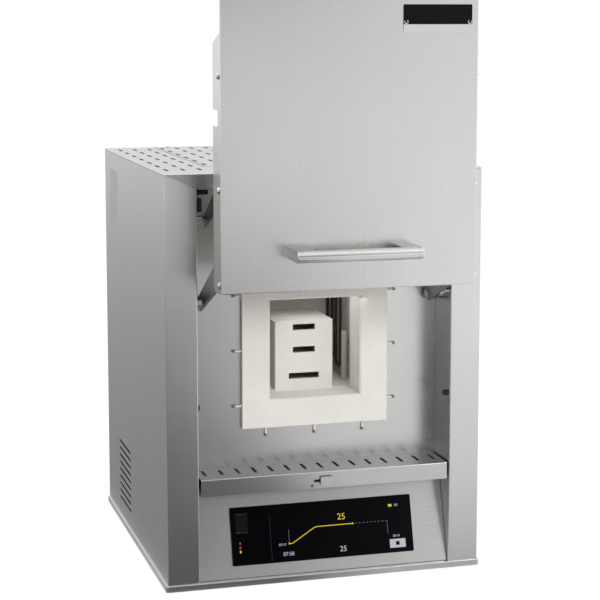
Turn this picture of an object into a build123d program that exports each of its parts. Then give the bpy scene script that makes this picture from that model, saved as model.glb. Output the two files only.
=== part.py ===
from build123d import *
from math import asin, atan2, cos, degrees, hypot, pi, sin
import os

# High-temperature bench furnace with a parallel lift door, shown with the door open.
# Millimetres. +X to the right, +Y to the back, +Z up, z = 0 on the bench.
# While it is modelled, y = 0 is the front plane of the casing. Everything is moved
# along Y at the end, so that the origin lies under the middle of the whole furnace.

# Casing
CASE_W = 385.0
CASE_D = 400.0
CASE_TOP = 493.5
SHEET = 1.5
BEND = 1.2
POST_W = 37.7
LINTEL_H = 17.7
RECESS_D = 53.0
JOINT_GAP = 0.3

# Base and feet
FOOT_R = 17.0
FOOT_EDGE = 1.0
FOOT_INSET = 32.0
BASE_LIP_Z = 4.5
BASE_TOP = 12.0
BASE_T = 2.5
BASE_PROUD = 2.5
BASE_CORNER = 4.0

# Vent slots of one tool, in the shelf, the roof, the lid and the rear panel
SLOT_L = 25.0
SLOT_W = 4.0

# Shelf and the air slider under it
SHELF_TOP = 135.4
SHELF_LIP_H = 20.0
SHELF_SIDE_GAP = 2.7
SHELF_END = 9.65
SHELF_SLOTS = 15
SHELF_SLOT_Y = 30.0
SLIDER_T = 1.2
SLIDER_W = 34.0
SLIDER_SLOTS = 11
SKIPPED_SLOTS = 3
SLIDER_TRAVEL = 10.0
RAIL_GRIP = 3.5
RAIL_END = 12.0
EAR_W = 12.0
TONGUE_X = 0.0
TONGUE_Z = 124.6
TONGUE_W = 16.0
TONGUE_H = 10.6
TONGUE_OUT = 2.5
TONGUE_CORNER = 2.0
NECK_W = 8.0
NECK_Y = 5.0
LIP_SLOT_H = 3.2
LIP_SLOT_SPARE = 1.5
LIP_HOLE_R = 1.7
LIP_HOLE_X = -17.6
LIP_HOLE_Z = 119.0

# Roof, lid and side vents
ROOF_EDGE = 13.4
ROOF_ROWS = 7
ROOF_ROW_Y = 55.5
ROOF_END = 43.3
ROOF_COLUMNS = (7, 8, 9)
LID_EDGE = 5.6
LID_FRONT_Y = 89.0
LID_GAP = 1.6
LID_LEDGE = 3.0
LID_CORNER = 6.0
LID_ROWS = 6
LID_ROW_Y = 120.0
LID_COLUMNS = (0, 1, 2, 3, 4, 5, 6)
LOUVRES = 9
LOUVRE_L = 80.0
LOUVRE_H = 3.0
LOUVRE_PITCH = 9.6
LOUVRE_Y = 274.3
LOUVRE_Z = 35.4
REAR_SLOT_Z = 250.0
REAR_SLOT_ROWS = 3
REAR_COLUMNS = (0, 1, 2, 3, 4, 5, 6)

# Control panel, sloping between the shelf and the base
PANEL_TOP_Y = 32.0
PANEL_TOP_Z = 115.0
PANEL_FOOT_Y = 3.5
PANEL_GAP = 0.5
GLASS_W = 225.8
GLASS_H = 68.4
GLASS_T = 2.0
GLASS_CORNER = 1.5
GLASS_FROM_TOP = 23.7
WINDOW_IN = 9.0
MODULE_D = 14.0
BOARD_T = 1.6
BOARD_GAP = 6.0
FLAP_W = 14.6
FLAP_H = 21.6
FLAP_T = 1.5
FLAP_X = -99.4
FLAP_DOWN = 19.2
FLAP_CLEAR = 0.3
FLAP_CORNER = 0.8
GROOVE_IN = 1.2
GROOVE_W = 1.0
GROOVE_L = 10.0
GROOVE_D = 0.5
PANEL_FOOT_D = 12.0
SCREEN_GAP = 0.2
MODULE_RIM = 3.0
BOARD_POST_R = 2.5
BOARD_POST_IN = 6.0
CHIPS = 4
CHIP = 16.0
CHIP_T = 4.0
CHIP_PITCH = 40.0
USB_W = 13.0
USB_H = 5.6
USB_D = 12.0
USB_BACK = 0.2
USB_WALL = 0.7

# Chamber: ceramic-fibre muffle with a mouth of 112 x 120 mm
MOUTH_W = 112.0
MOUTH_H = 120.0
MOUTH_CHAMFER = 2.0
CHAMBER_Z = 215.5
COLLAR_W = 181.0
COLLAR_H = 188.0
COLLAR_FRONT = 47.0
COLLAR_BACK = 88.0
CHAMBER_W = 148.0
CHAMBER_BACK = 218.0
CHAMBER_H = 128.0
FLOOR_T = 30.0
ROOF_T = 38.0
WALL_T = 26.0
BACKUP_T = 32.0
FIBRE_GAP = 0.3
DECK_T = 1.5
DECK_FOLD = 12.0
DECK_HOLE = 60.0
DECK_HOLE_X = 110.0
DECK_HOLE_GAP = 10.0

# Heating elements, two hairpins on each side
ROD_R = 2.0
TERMINAL_R = 4.0
TERMINAL_HOLE = 0.6
TERMINAL_DROP = 6.0
TERMINAL_UP = 34.0
ELEMENT_X = 64.0
ELEMENT_LEG = 20.0
ELEMENT_Y = (163.0, 199.0)
ELEMENT_FOOT_Z = 227.5
HOLDER_R = 7.5
HOLDER_H = 8.0
STRAP_W = 10.0
STRAP_T = 2.0
STRAP_UP = 20.0
GUARD_R = 3.5
GUARD_H = 61.5
GUARD_Y = 137.5
THERMO_R = 3.0
THERMO_Z = 318.0
THERMO_IN = 12.0
THERMO_HEAD_R = 12.0
THERMO_HEAD_L = 24.0

# Sintering trays in the chamber
TRAY_W = 74.0
TRAY_D = 86.0
TRAY_FRONT = 97.0
TRAY_WALL = 5.0
TRAY_HEIGHTS = (20.0, 32.5, 28.0)
TRAY_VENTS = (39.0, 28.5, 28.5)
TRAY_VENT_H = 7.5
TRAY_LID_T = 4.0

# Pins that hold the muffle collar
ANCHOR_R = 1.3
ANCHOR_OUT = 8.0
ANCHOR_TIP_R = 1.6
ANCHOR_STEP_Z = 66.7
ANCHOR_STEP_X = 60.7

# Door
DOOR_SIDE_GAP = 6.0
DOOR_CORNER = 4.0
DOOR_H = 324.0
DOOR_CLOSED_Z = 146.0
DOOR_OUT = 93.0
DOOR_LIFT = 222.0
FLANGE_D = 35.0
FLANGE_TOP = 286.0
FLANGE_SLANT = 12.0
FLANGE_CUT = 5.0
NOTCH_LOW = 183.5
NOTCH_HIGH = 201.5
NOTCH_FRONT = 12.0
NOTCH_CORNER = 4.0
DOOR_RETURN = 12.0
PAN_W = 220.0
PAN_H = 206.0
PAN_D = 30.0
PAN_SHEET = 1.2
PLUG_W = 176.0
PLUG_H = 178.0
PLUG_GAP = 1.0
NOSE_D = 10.0
NOSE_CLEAR = 6.0
NOSE_CORNER = 3.0
HANDLE_R = 6.9
HANDLE_L = 145.5
HANDLE_REACH = 41.0
HANDLE_UP = 43.4
HANDLE_CAP = 6.0
HANDLE_GROOVE = 0.5
BRACKET_W = 23.0
BRACKET_H = 12.6
BRACKET_EDGE = 0.5
PLATE_W = 81.0
PLATE_H = 31.0
PLATE_T = 0.8
PLATE_CORNER = 1.5
PLATE_IN = 48.5
PLATE_FROM_TOP = 23.4
PLATE_SCREW_IN = 2.8
PLATE_SCREW_DOWN = 3.0
PLATE_SCREW_R = 1.8
FLANGE_SCREWS = (9.5, 114.0, 239.0)
FLANGE_SCREW_IN = 7.0
FLANGE_SCREW_R = 3.4

# Lift linkage: two levers on each side carry the door
PIVOT_Y = 43.0
PIVOT_Z = 336.0
PIVOT_STEP = 98.0
DOOR_PIN_IN = 8.0
LEVER_T = 3.0
LEVER_R = 8.4
LEVER_END_R = 6.0
LEVER_BEND_Y = -120.0
LEVER_BEND_Z = 51.0
LEVER_BEND_R = 8.0
LOWER_LEVER_IN = 13.8
UPPER_LEVER_IN = 21.8
PIN_SHAFT_R = 4.5
PIN_NECK_R = 4.0
PIN_HEAD_R = 5.8
PIN_HEAD_T = 3.0
PIN_FIT = 0.08
RUN_GAP = 0.3

# Studs, springs, buffers and the door sensor in the recess
STUD_Y = 18.0
STUD_UP = 5.0
STUD_R = 4.5
STUD_REACH = 9.0
SPRING_R = 6.0
SPRING_WIRE_R = 0.8
SPRING_PITCH = 2.3
SPRING_QUARTERS = 9
SPRING_IN = 2.0
SPRING_TAIL = 4.0
BUFFER_R = 3.6
BUFFER_Y = 12.0
BUFFER_Z = 219.0
BUFFER_L = 4.0
SENSOR_Y = 22.0
SENSOR_Z = 470.0
SENSOR_R = 2.9
SENSOR_REACH = 17.8
SENSOR_NUT_R = 5.4
SENSOR_NUT_T = 2.5
HOLDER_REACH = 7.8
HOLDER_FRONT = 10.0
HOLDER_BACK = 22.0
HOLDER_BOTTOM = 448.0
HOLDER_TOP = 464.0
HOLDER_EAR_T = 3.0

# Rear fittings and electronics
FAN = 80.0
FAN_T = 25.0
FAN_X = 110.0
FAN_Z = 66.0
FAN_WALL = 2.5
FAN_HUB_R = 17.0
FAN_TIP_GAP = 1.2
FAN_BLADES = 7
FAN_SHAFT_R = 3.0
FAN_ARM_W = 5.0
FAN_ARM_T = 3.0
FAN_NOSE = 6.0
FAN_IN = 2.0
BLADE_T = 1.6
BLADE_PITCH = 38.0
GUARD_WIRE_R = 1.2
GUARD_RINGS = (14.0, 24.0, 34.0)
GUARD_REACH = 48.0
INLET_X = -120.0
INLET_Z = 60.0
INLET_W = 64.0
INLET_H = 44.0
INLET_T = 3.0
INLET_D = 26.0
INLET_RIM = 3.0
SOCKET_W = 25.0
SOCKET_H = 17.0
SOCKET_D = 16.0
SOCKET_X = -12.0
BLADE_STEP = 7.0
BLADE_UP = 4.0
SWITCH_D = 14.0
ROCKER_X = 18.0
ROCKER_W = 12.0
ROCKER_H = 22.0
ROCKER_R = 30.0
ROCKER_TILT = 9.0
ROCKER_OUT = 3.6
ROCKER_BACK = 4.0
ROCKER_SPARE = 2.0
ROCKER_PIN_R = 1.5
STUB_R = 16.0
STUB_WALL = 1.5
STUB_OUT = 14.0
STUB_IN = 70.0
STUB_Z = 440.0
STUB_FLANGE_R = 24.0
CORE_W = 100.0
CORE_D = 60.0
CORE_H = 90.0
CORE_LIMB = 16.0
CORE_X = -20.0
CORE_BACK = 68.5
COIL_CORNER = 8.0
SCR_SIDE = 21.0
SCR_CLEAR = 9.0
SCR_W = 60.0
SCR_D = 70.0
SCR_H = 70.0
SCR_FINS = 7
SCR_BASE = 5.0
SCR_IN = 6.0
CONTACTOR_X = -135.0
CONTACTOR_Y = 200.0
CONTACTOR_W = 45.0
CONTACTOR_D = 56.0
CONTACTOR_H = 74.0
CONTACTOR_STEP = 22.0
SCREW_R = 3.0
SCREW_H = 1.4
SCREW_ROUND = 0.9
SCREW_IN = 12.0
LID_SCREW_SIDE = 17.5
LID_SCREW_IN = 6.0

# Worked out from the sizes above
HALF_W = CASE_W / 2
HALF_IN = HALF_W - SHEET
POST_IN = HALF_W - POST_W
RECESS_TOP = CASE_TOP - LINTEL_H
REAR_IN = CASE_D - SHEET
FOLD_D = RECESS_D - JOINT_GAP
MITRE = LINTEL_H / POST_W
SHELF_X = POST_IN - SHELF_SIDE_GAP
SHELF_PITCH = 2 * (SHELF_X - SHELF_END) / (SHELF_SLOTS - 1)
ROOF_PITCH_X = (HALF_W - ROOF_EDGE) / max(ROOF_COLUMNS)
ROOF_PITCH_Y = (CASE_D - ROOF_ROW_Y - ROOF_END) / (ROOF_ROWS - 1)
LID_W = 2 * (max(LID_COLUMNS) * ROOF_PITCH_X + LID_EDGE)
LID_SCREW_X = LID_W / 2 - LID_SCREW_SIDE
CORE_Y = REAR_IN - CORE_BACK
SCR_X = SCR_W / 2 + SCR_SIDE - HALF_IN
SCR_Y = CASE_D - INLET_D - SCR_CLEAR - SCR_D / 2
SLIDER_Z = SHELF_TOP - SHEET - RUN_GAP - SLIDER_T
PANEL_SLOPE = hypot(PANEL_TOP_Y - PANEL_FOOT_Y, PANEL_TOP_Z - BASE_TOP)
GLASS_MID = -GLASS_FROM_TOP - GLASS_H / 2
FLAP_Y = -GLASS_FROM_TOP - FLAP_DOWN
WINDOW_H = GLASS_H - 2 * WINDOW_IN
WINDOW_X0 = FLAP_X + FLAP_W / 2 + WINDOW_IN / 2
WINDOW_X1 = GLASS_W / 2 - WINDOW_IN
MOUTH_Z = CHAMBER_Z + MOUTH_H / 2
COLLAR_Z = MOUTH_Z - COLLAR_H / 2
FIBRE_BACK = CHAMBER_BACK + WALL_T
CHAMBER_TOP = CHAMBER_Z + CHAMBER_H
FIBRE_X = CHAMBER_W / 2 + WALL_T
BACKUP_X = FIBRE_X + BACKUP_T
BACKUP_Y = FIBRE_BACK + BACKUP_T
BACKUP_LOW = CHAMBER_Z - FLOOR_T - BACKUP_T
BACKUP_TOP = CHAMBER_TOP + ROOF_T + BACKUP_T
SHELL_X = BACKUP_X + FIBRE_GAP + SHEET
SHELL_LOW = BACKUP_LOW - FIBRE_GAP - SHEET
SHELL_TOP = BACKUP_TOP + FIBRE_GAP + SHEET
SHELL_BACK = BACKUP_Y + FIBRE_GAP + SHEET
SHELL_FRONT = RECESS_D + SHEET
DOOR_X = POST_IN - DOOR_SIDE_GAP
PLATE_X = DOOR_X - PLATE_IN
LOWER_LEVER_X = POST_IN - LOWER_LEVER_IN
UPPER_LEVER_X = POST_IN - UPPER_LEVER_IN
DOOR_Y = -DOOR_OUT
DOOR_Z = DOOR_CLOSED_Z + DOOR_LIFT
PLUG_MID = MOUTH_Z - DOOR_CLOSED_Z
DOOR_PIN_Y = DOOR_Y + DOOR_PIN_IN
LEVER_Y = DOOR_PIN_Y - PIVOT_Y
LEVER_Z = ((DOOR_OUT ** 2 + DOOR_LIFT ** 2) / 2 + LEVER_Y * DOOR_OUT) / DOOR_LIFT
SHUT_Y = LEVER_Y + DOOR_OUT
SHUT_Z = LEVER_Z - DOOR_LIFT
SWING = degrees(atan2(SHUT_Z, SHUT_Y) - atan2(LEVER_Z, LEVER_Y)) % 360
DOOR_PIN_Z = PIVOT_Z + LEVER_Z
HOOK_R = STUD_R + SPRING_WIRE_R + PIN_FIT
STUD_SPAN = hypot(PIVOT_Y - STUD_Y, STUD_UP)
LEG_ANGLE = atan2(STUD_UP, PIVOT_Y - STUD_Y) - asin((SPRING_R - HOOK_R) / STUD_SPAN)
LEG_L = STUD_SPAN * cos(asin((SPRING_R - HOOK_R) / STUD_SPAN)) + SPRING_TAIL
ORIGIN_Y = (CASE_D + STUB_OUT + DOOR_Y - HANDLE_REACH) / 2


def block(x0, x1, y0, y1, z0, z1):
    """A box between two corners, given in either order."""
    middle = ((x0 + x1) / 2, (y0 + y1) / 2, (z0 + z1) / 2)
    return Pos(*middle) * Box(abs(x1 - x0), abs(y1 - y0), abs(z1 - z0))


def rod_x(x0, x1, y, z, r):
    """A round bar along X."""
    return Pos((x0 + x1) / 2, y, z) * Rot(0, 90, 0) * Cylinder(r, abs(x1 - x0))


def rod_y(y0, y1, x, z, r):
    """A round bar along Y."""
    return Pos(x, (y0 + y1) / 2, z) * Rot(90, 0, 0) * Cylinder(r, abs(y1 - y0))


def rod_z(z0, z1, x, y, r):
    """A round bar along Z."""
    return Pos(x, y, (z0 + z1) / 2) * Cylinder(r, abs(z1 - z0))


def both_sides(solid):
    """The solid and its mirror image on the other side of the furnace."""
    return [solid, mirror(solid, about=Plane.YZ)]


def edges_where(solid, axis, test):
    """Edges along one axis whose middle passes a test."""
    return [e for e in solid.edges().filter_by(axis) if test(e.center())]


def spread(count, pitch):
    """Positions of a centred row."""
    return [(i - (count - 1) / 2) * pitch for i in range(count)]


def columns(numbers, pitch):
    """Positions of numbered columns on both sides of the middle, the middle once."""
    return sorted({side * n * pitch for n in numbers for side in (-1, 1)})


def slot_cutters(xs, ys, z):
    """Upright cutters through a sheet at height z, for vent slots that run along Y."""
    outline = Rot(0, 0, 90) * SlotOverall(SLOT_L, SLOT_W)
    return [Pos(x, y, z - 2 * SHEET) * extrude(outline, 4 * SHEET) for x in xs for y in ys]


def base_plate():
    """A shallow folded pan, open below, a little larger than the casing."""
    x = HALF_W + BASE_PROUD
    y0 = -BASE_PROUD
    y1 = CASE_D + BASE_PROUD
    pan = block(-x, x, y0, y1, BASE_LIP_Z, BASE_TOP)
    pan = fillet(edges_where(pan, Axis.Z, lambda c: True), BASE_CORNER)
    pan = fillet([e for e in pan.edges() if e.center().Z > BASE_TOP - 0.01], BEND)
    hollow = block(-x + SHEET, x - SHEET, y0 + SHEET, y1 - SHEET, BASE_LIP_Z - 1, BASE_TOP - BASE_T)
    return [pan - hollow]


def feet():
    """Four rubber discs under the base pan."""
    x = HALF_W - FOOT_INSET
    top = BASE_TOP - BASE_T
    discs = []
    for fx in (-x, x):
        for fy in (FOOT_INSET, CASE_D - FOOT_INSET):
            disc = rod_z(0, top, fx, fy, FOOT_R)
            discs.append(chamfer([e for e in disc.edges() if e.center().Z < 0.01], FOOT_EDGE))
    return discs


def side_panel():
    """Left side sheet, folded round the front post and back along the recess."""
    top = CASE_TOP - SHEET - JOINT_GAP
    skin = block(-HALF_W, -HALF_IN, 0, REAR_IN, BASE_TOP, top)
    post = block(-HALF_W, -POST_IN, 0, SHEET, BASE_TOP, top)
    fold = block(-POST_IN - SHEET, -POST_IN, 0, FOLD_D, BASE_TOP, RECESS_TOP)
    panel = skin + post + fold
    panel = fillet(edges_where(panel, Axis.Z, lambda c: c.Y < 0.1 and (
        c.X < -HALF_W + 0.1 or c.X > -POST_IN - 0.1)), BEND)
    mitre = Plane.XZ * make_face(Polyline(
        (-HALF_W, CASE_TOP), (-POST_IN + 1, CASE_TOP), (-POST_IN + 1, RECESS_TOP),
        (-POST_IN, RECESS_TOP), close=True))
    panel -= Pos(0, SHEET + 0.1, 0) * extrude(mitre, SHEET + 1)
    outline = Rot(0, 0, 90) * SlotOverall(LOUVRE_L, LOUVRE_H)
    louvre = Rot(0, 90, 0) * extrude(outline, 2 * SHEET, both=True)
    zs = [LOUVRE_Z + i * LOUVRE_PITCH for i in range(LOUVRES)]
    return panel - [Pos(-HALF_W, LOUVRE_Y, z) * louvre for z in zs]


def front_plate():
    """Back wall of the recess, with a hole for the muffle collar."""
    x = POST_IN + SHEET
    plate = block(-x, x, RECESS_D, SHELL_FRONT, PANEL_TOP_Z, RECESS_TOP + SHEET)
    hole_x = COLLAR_W / 2 + FIBRE_GAP
    return [plate - block(-hole_x, hole_x, RECESS_D - 1, SHELL_FRONT + 1,
                          COLLAR_Z - FIBRE_GAP, COLLAR_Z + COLLAR_H + FIBRE_GAP)]


def top_cover():
    """Roof sheet with the front lintel and the ceiling of the recess folded from it."""
    roof = block(-HALF_W, HALF_W, 0, REAR_IN, CASE_TOP - SHEET, CASE_TOP)
    lintel = block(-HALF_W, HALF_W, 0, SHEET, RECESS_TOP, CASE_TOP)
    ceiling_x = POST_IN - JOINT_GAP
    ceiling = block(-ceiling_x, ceiling_x, 0, FOLD_D, RECESS_TOP, RECESS_TOP + SHEET)
    cover = roof + lintel + ceiling
    cover = fillet(edges_where(cover, Axis.X, lambda c: c.Y < 0.1), BEND)
    cover = fillet(edges_where(cover, Axis.Y, lambda c: c.Z > CASE_TOP - 0.1), BEND)
    under = CASE_TOP - SHEET
    mitre_in = POST_IN - JOINT_GAP / MITRE
    mitre_out = mitre_in + (under - RECESS_TOP) / MITRE
    for side in (-1, 1):
        mitre = Plane.XZ * make_face(Polyline(
            (side * (HALF_W + 2), under), (side * mitre_out, under),
            (side * mitre_in, RECESS_TOP), (side * mitre_in, RECESS_TOP - 1),
            (side * (HALF_W + 2), RECESS_TOP - 1), close=True))
        cover -= Pos(0, SHEET + 0.1, 0) * extrude(mitre, SHEET + 1)
    x = LID_W / 2 + LID_GAP
    y = LID_FRONT_Y - LID_GAP
    cover -= block(-x, x, y, REAR_IN + 1, CASE_TOP - SHEET - 1, CASE_TOP + 1)
    weld = x + LID_LEDGE
    front = y - LID_LEDGE
    cover += block(-weld, weld, front, LID_FRONT_Y + LID_LEDGE, under - SHEET, under)
    for side in (-1, 1):
        cover += block(side * (LID_W / 2 - LID_LEDGE), side * weld, front, REAR_IN, under - SHEET, under)
    rows = [ROOF_ROW_Y + i * ROOF_PITCH_Y for i in range(ROOF_ROWS)]
    return [cover - slot_cutters(columns(ROOF_COLUMNS, ROOF_PITCH_X), rows, CASE_TOP)]


def top_lid():
    """Removable slotted lid over the element terminals."""
    lid = block(-LID_W / 2, LID_W / 2, LID_FRONT_Y, REAR_IN, CASE_TOP - SHEET, CASE_TOP)
    lid = fillet(edges_where(lid, Axis.Z, lambda c: c.Y < LID_FRONT_Y + 1), LID_CORNER)
    rows = [LID_ROW_Y + i * ROOF_PITCH_Y for i in range(LID_ROWS)]
    return [lid - slot_cutters(columns(LID_COLUMNS, ROOF_PITCH_X), rows, CASE_TOP)]


def rear_panel():
    """Back sheet with openings for the fan, the mains inlet and the exhaust stub."""
    panel = block(-HALF_W, HALF_W, REAR_IN, CASE_D, BASE_TOP, CASE_TOP)
    panel = fillet(edges_where(panel, Axis.Z, lambda c: c.Y > CASE_D - 0.1), BEND)
    panel -= rod_y(REAR_IN - 1, CASE_D + 1, FAN_X, FAN_Z, FAN / 2 - FAN_WALL)
    panel -= rod_y(REAR_IN - 1, CASE_D + 1, 0, STUB_Z, STUB_R + RUN_GAP)
    x = INLET_W / 2 - INLET_RIM + RUN_GAP
    z = INLET_H / 2 - INLET_RIM + RUN_GAP
    panel -= block(INLET_X - x, INLET_X + x, REAR_IN - 1, CASE_D + 1, INLET_Z - z, INLET_Z + z)
    outline = Rot(0, 0, 90) * SlotOverall(SLOT_L, SLOT_W)
    slot = Rot(90, 0, 0) * extrude(outline, 2 * SHEET, both=True)
    xs = columns(REAR_COLUMNS, ROOF_PITCH_X)
    zs = [REAR_SLOT_Z + row * ROOF_PITCH_Y for row in range(REAR_SLOT_ROWS)]
    return [panel - [Pos(x, CASE_D, z) * slot for x in xs for z in zs]]


def slider_rails():
    """Angles under the shelf that hold the slider at its front and back edges."""
    low = SLIDER_Z - RUN_GAP
    front = SHELF_SLOT_Y - SLIDER_W / 2 - RUN_GAP
    back = SHELF_SLOT_Y + SLIDER_W / 2 + RUN_GAP
    x = SHELF_X - RAIL_END
    gap = NECK_W / 2 + SLIDER_TRAVEL + LIP_SLOT_SPARE
    rails = [block(-x, x, back, back + SHEET, low - SHEET, SHELF_TOP - SHEET)
             + block(-x, x, back - RAIL_GRIP, back + SHEET, low - SHEET, low)]
    for x0, x1 in ((-x, TONGUE_X - gap), (TONGUE_X + gap, x)):
        rails.append(block(x0, x1, front - SHEET, front, low - SHEET, SHELF_TOP - SHEET)
                     + block(x0, x1, front - SHEET, front + RAIL_GRIP, low - SHEET, low))
    return rails


def shelf():
    """Slotted ledge under the door, with a lip that the slider tongue comes through."""
    low = SHELF_TOP - SHELF_LIP_H
    ledge = block(-SHELF_X, SHELF_X, 0, FOLD_D, SHELF_TOP - SHEET, SHELF_TOP)
    ledge += block(-SHELF_X, SHELF_X, 0, SHEET, low, SHELF_TOP)
    ledge = fillet(edges_where(ledge, Axis.X, lambda c: c.Y < 0.1 and c.Z > SHELF_TOP - 0.1), BEND)
    ledge += slider_rails()
    ledge += block(-SHELF_X, SHELF_X, FOLD_D - SHEET, FOLD_D, low, SHELF_TOP)
    for side in (-1, 1):
        ledge += block(side * (SHELF_X - SHEET), side * SHELF_X, SHEET, FOLD_D, low, SHELF_TOP)
        ledge += block(side * (SHELF_X - SHEET), side * POST_IN, FOLD_D - 2 * EAR_W, FOLD_D - EAR_W,
                       low, low + SHEET)
    ledge -= slot_cutters(spread(SHELF_SLOTS, SHELF_PITCH), [SHELF_SLOT_Y], SHELF_TOP - SHEET / 2)
    ledge -= rod_y(-1, SHEET + 1, LIP_HOLE_X, LIP_HOLE_Z, LIP_HOLE_R)
    x0 = TONGUE_X - NECK_W / 2 - SLIDER_TRAVEL - LIP_SLOT_SPARE
    x1 = TONGUE_X + NECK_W / 2 + LIP_SLOT_SPARE
    return [ledge - block(x0, x1, -1, SHEET + 1, TONGUE_Z - LIP_SLOT_H / 2, TONGUE_Z + LIP_SLOT_H / 2)]


def air_slider():
    """Perforated slide under the shelf that opens and shuts its slots, with its tongue."""
    xs = spread(SHELF_SLOTS, SHELF_PITCH)[SKIPPED_SLOTS:SKIPPED_SLOTS + SLIDER_SLOTS]
    front = SHELF_SLOT_Y - SLIDER_W / 2
    plate = block(xs[0] - SHELF_PITCH / 2, xs[-1] + SHELF_PITCH, front, front + SLIDER_W,
                  SLIDER_Z, SLIDER_Z + SLIDER_T)
    plate -= slot_cutters([x + SLIDER_TRAVEL for x in xs], [SHELF_SLOT_Y], SLIDER_Z)
    x0 = TONGUE_X - NECK_W / 2
    x1 = TONGUE_X + NECK_W / 2
    plate += block(x0, x1, NECK_Y, front + 1, SLIDER_Z, SLIDER_Z + SLIDER_T)
    plate += block(x0, x1, NECK_Y, NECK_Y + SLIDER_T, TONGUE_Z - SLIDER_T / 2, SLIDER_Z + SLIDER_T)
    plate += block(x0, x1, -TONGUE_OUT, NECK_Y + 0.1, TONGUE_Z - SLIDER_T / 2, TONGUE_Z + SLIDER_T / 2)
    tab = block(TONGUE_X - TONGUE_W / 2, TONGUE_X + TONGUE_W / 2, -TONGUE_OUT - SLIDER_T, -TONGUE_OUT,
                TONGUE_Z - TONGUE_H / 2, TONGUE_Z + TONGUE_H / 2)
    tab = fillet(edges_where(tab, Axis.Y, lambda c: True), TONGUE_CORNER)
    return [plate + tab]


def slope():
    """Plane of the control panel: x across, y up the slope from its top edge, z outwards."""
    return Plane(origin=(0, PANEL_TOP_Y, PANEL_TOP_Z), x_dir=(1, 0, 0),
                 z_dir=(0, BASE_TOP - PANEL_TOP_Z, PANEL_TOP_Y - PANEL_FOOT_Y))


def control_panel():
    """Sloping sheet behind the display, folded back at its top under the shelf."""
    x = POST_IN - PANEL_GAP
    sheet = block(-x, x, -PANEL_SLOPE + PANEL_GAP, 0, -SHEET, 0)
    sheet -= block(WINDOW_X0, WINDOW_X1, GLASS_MID - WINDOW_H / 2, GLASS_MID + WINDOW_H / 2, -SHEET - 1, 1)
    hole_x = USB_W / 2 + RUN_GAP
    hole_y = USB_H / 2 + RUN_GAP
    sheet -= block(FLAP_X - hole_x, FLAP_X + hole_x, FLAP_Y - hole_y, FLAP_Y + hole_y, -SHEET - 1, 1)
    fold = block(-x, x, PANEL_TOP_Y, SHELL_FRONT, PANEL_TOP_Z - SHEET, PANEL_TOP_Z)
    foot_y = PANEL_FOOT_Y + SHEET
    foot = block(-x, x, foot_y, foot_y + PANEL_FOOT_D, BASE_TOP, BASE_TOP + SHEET)
    return [slope() * sheet + fold + foot]


def display_glass():
    """Black cover glass of the display, with a recess for the flap."""
    glass = block(-GLASS_W / 2, GLASS_W / 2, GLASS_MID - GLASS_H / 2, GLASS_MID + GLASS_H / 2, 0, GLASS_T)
    glass = fillet(edges_where(glass, Axis.Z, lambda c: True), GLASS_CORNER)
    x = FLAP_W / 2 + FLAP_CLEAR
    y = FLAP_H / 2 + FLAP_CLEAR
    return [slope() * (glass - block(FLAP_X - x, FLAP_X + x, FLAP_Y - y, FLAP_Y + y, -1, GLASS_T + 1))]


def display_module():
    """Screen housing behind the panel window, with a rim behind the sheet."""
    x0 = WINDOW_X0 + RUN_GAP
    x1 = WINDOW_X1 - RUN_GAP
    y = WINDOW_H / 2 - RUN_GAP
    body = block(x0, x1, GLASS_MID - y, GLASS_MID + y, -MODULE_D, -SCREEN_GAP)
    rim = block(x0 - MODULE_RIM, x1 + MODULE_RIM, GLASS_MID - y - MODULE_RIM, GLASS_MID + y + MODULE_RIM,
                -MODULE_D, -SHEET - RUN_GAP)
    return [slope() * (body + rim)]


def controller_board():
    """Circuit board on posts behind the display, with the data socket and four chips."""
    x = WINDOW_X1
    y = WINDOW_H / 2
    z = -MODULE_D - BOARD_GAP
    board = block(FLAP_X - USB_W, x, GLASS_MID - y, GLASS_MID + y, z - BOARD_T, z)
    post_y = y - BOARD_POST_IN
    posts = [rod_z(z - BOARD_T / 2, -MODULE_D - RUN_GAP, px, GLASS_MID + py, BOARD_POST_R)
             for px in (WINDOW_X0 + BOARD_POST_IN, x - BOARD_POST_IN) for py in (-post_y, post_y)]
    chip_z = z - BOARD_T
    chips = [block(px - CHIP / 2, px + CHIP / 2, GLASS_MID - CHIP / 2, GLASS_MID + CHIP / 2,
                   chip_z - CHIP_T, chip_z + BOARD_T / 2) for px in spread(CHIPS, CHIP_PITCH)]
    sx = USB_W / 2
    sy = USB_H / 2
    socket = block(FLAP_X - sx, FLAP_X + sx, FLAP_Y - sy, FLAP_Y + sy, z - BOARD_T / 2, -USB_BACK)
    sx -= USB_WALL
    sy -= USB_WALL
    socket -= block(FLAP_X - sx, FLAP_X + sx, FLAP_Y - sy, FLAP_Y + sy, -USB_BACK - USB_D, 1)
    return [slope() * (board + posts + chips + socket)]


def usb_flap():
    """Flush flap over the data socket, hinged on its left edge, with a nail groove."""
    x1 = FLAP_X + FLAP_W / 2
    flap = block(FLAP_X - FLAP_W / 2, x1, FLAP_Y - FLAP_H / 2, FLAP_Y + FLAP_H / 2,
                 GLASS_T - FLAP_T, GLASS_T)
    flap = fillet(edges_where(flap, Axis.Z, lambda c: True), FLAP_CORNER)
    groove_x = x1 - GROOVE_IN
    groove = block(groove_x - GROOVE_W, groove_x, FLAP_Y - GROOVE_L / 2, FLAP_Y + GROOVE_L / 2,
                   GLASS_T - GROOVE_D, GLASS_T + 1)
    return [slope() * (flap - groove)]


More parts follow.
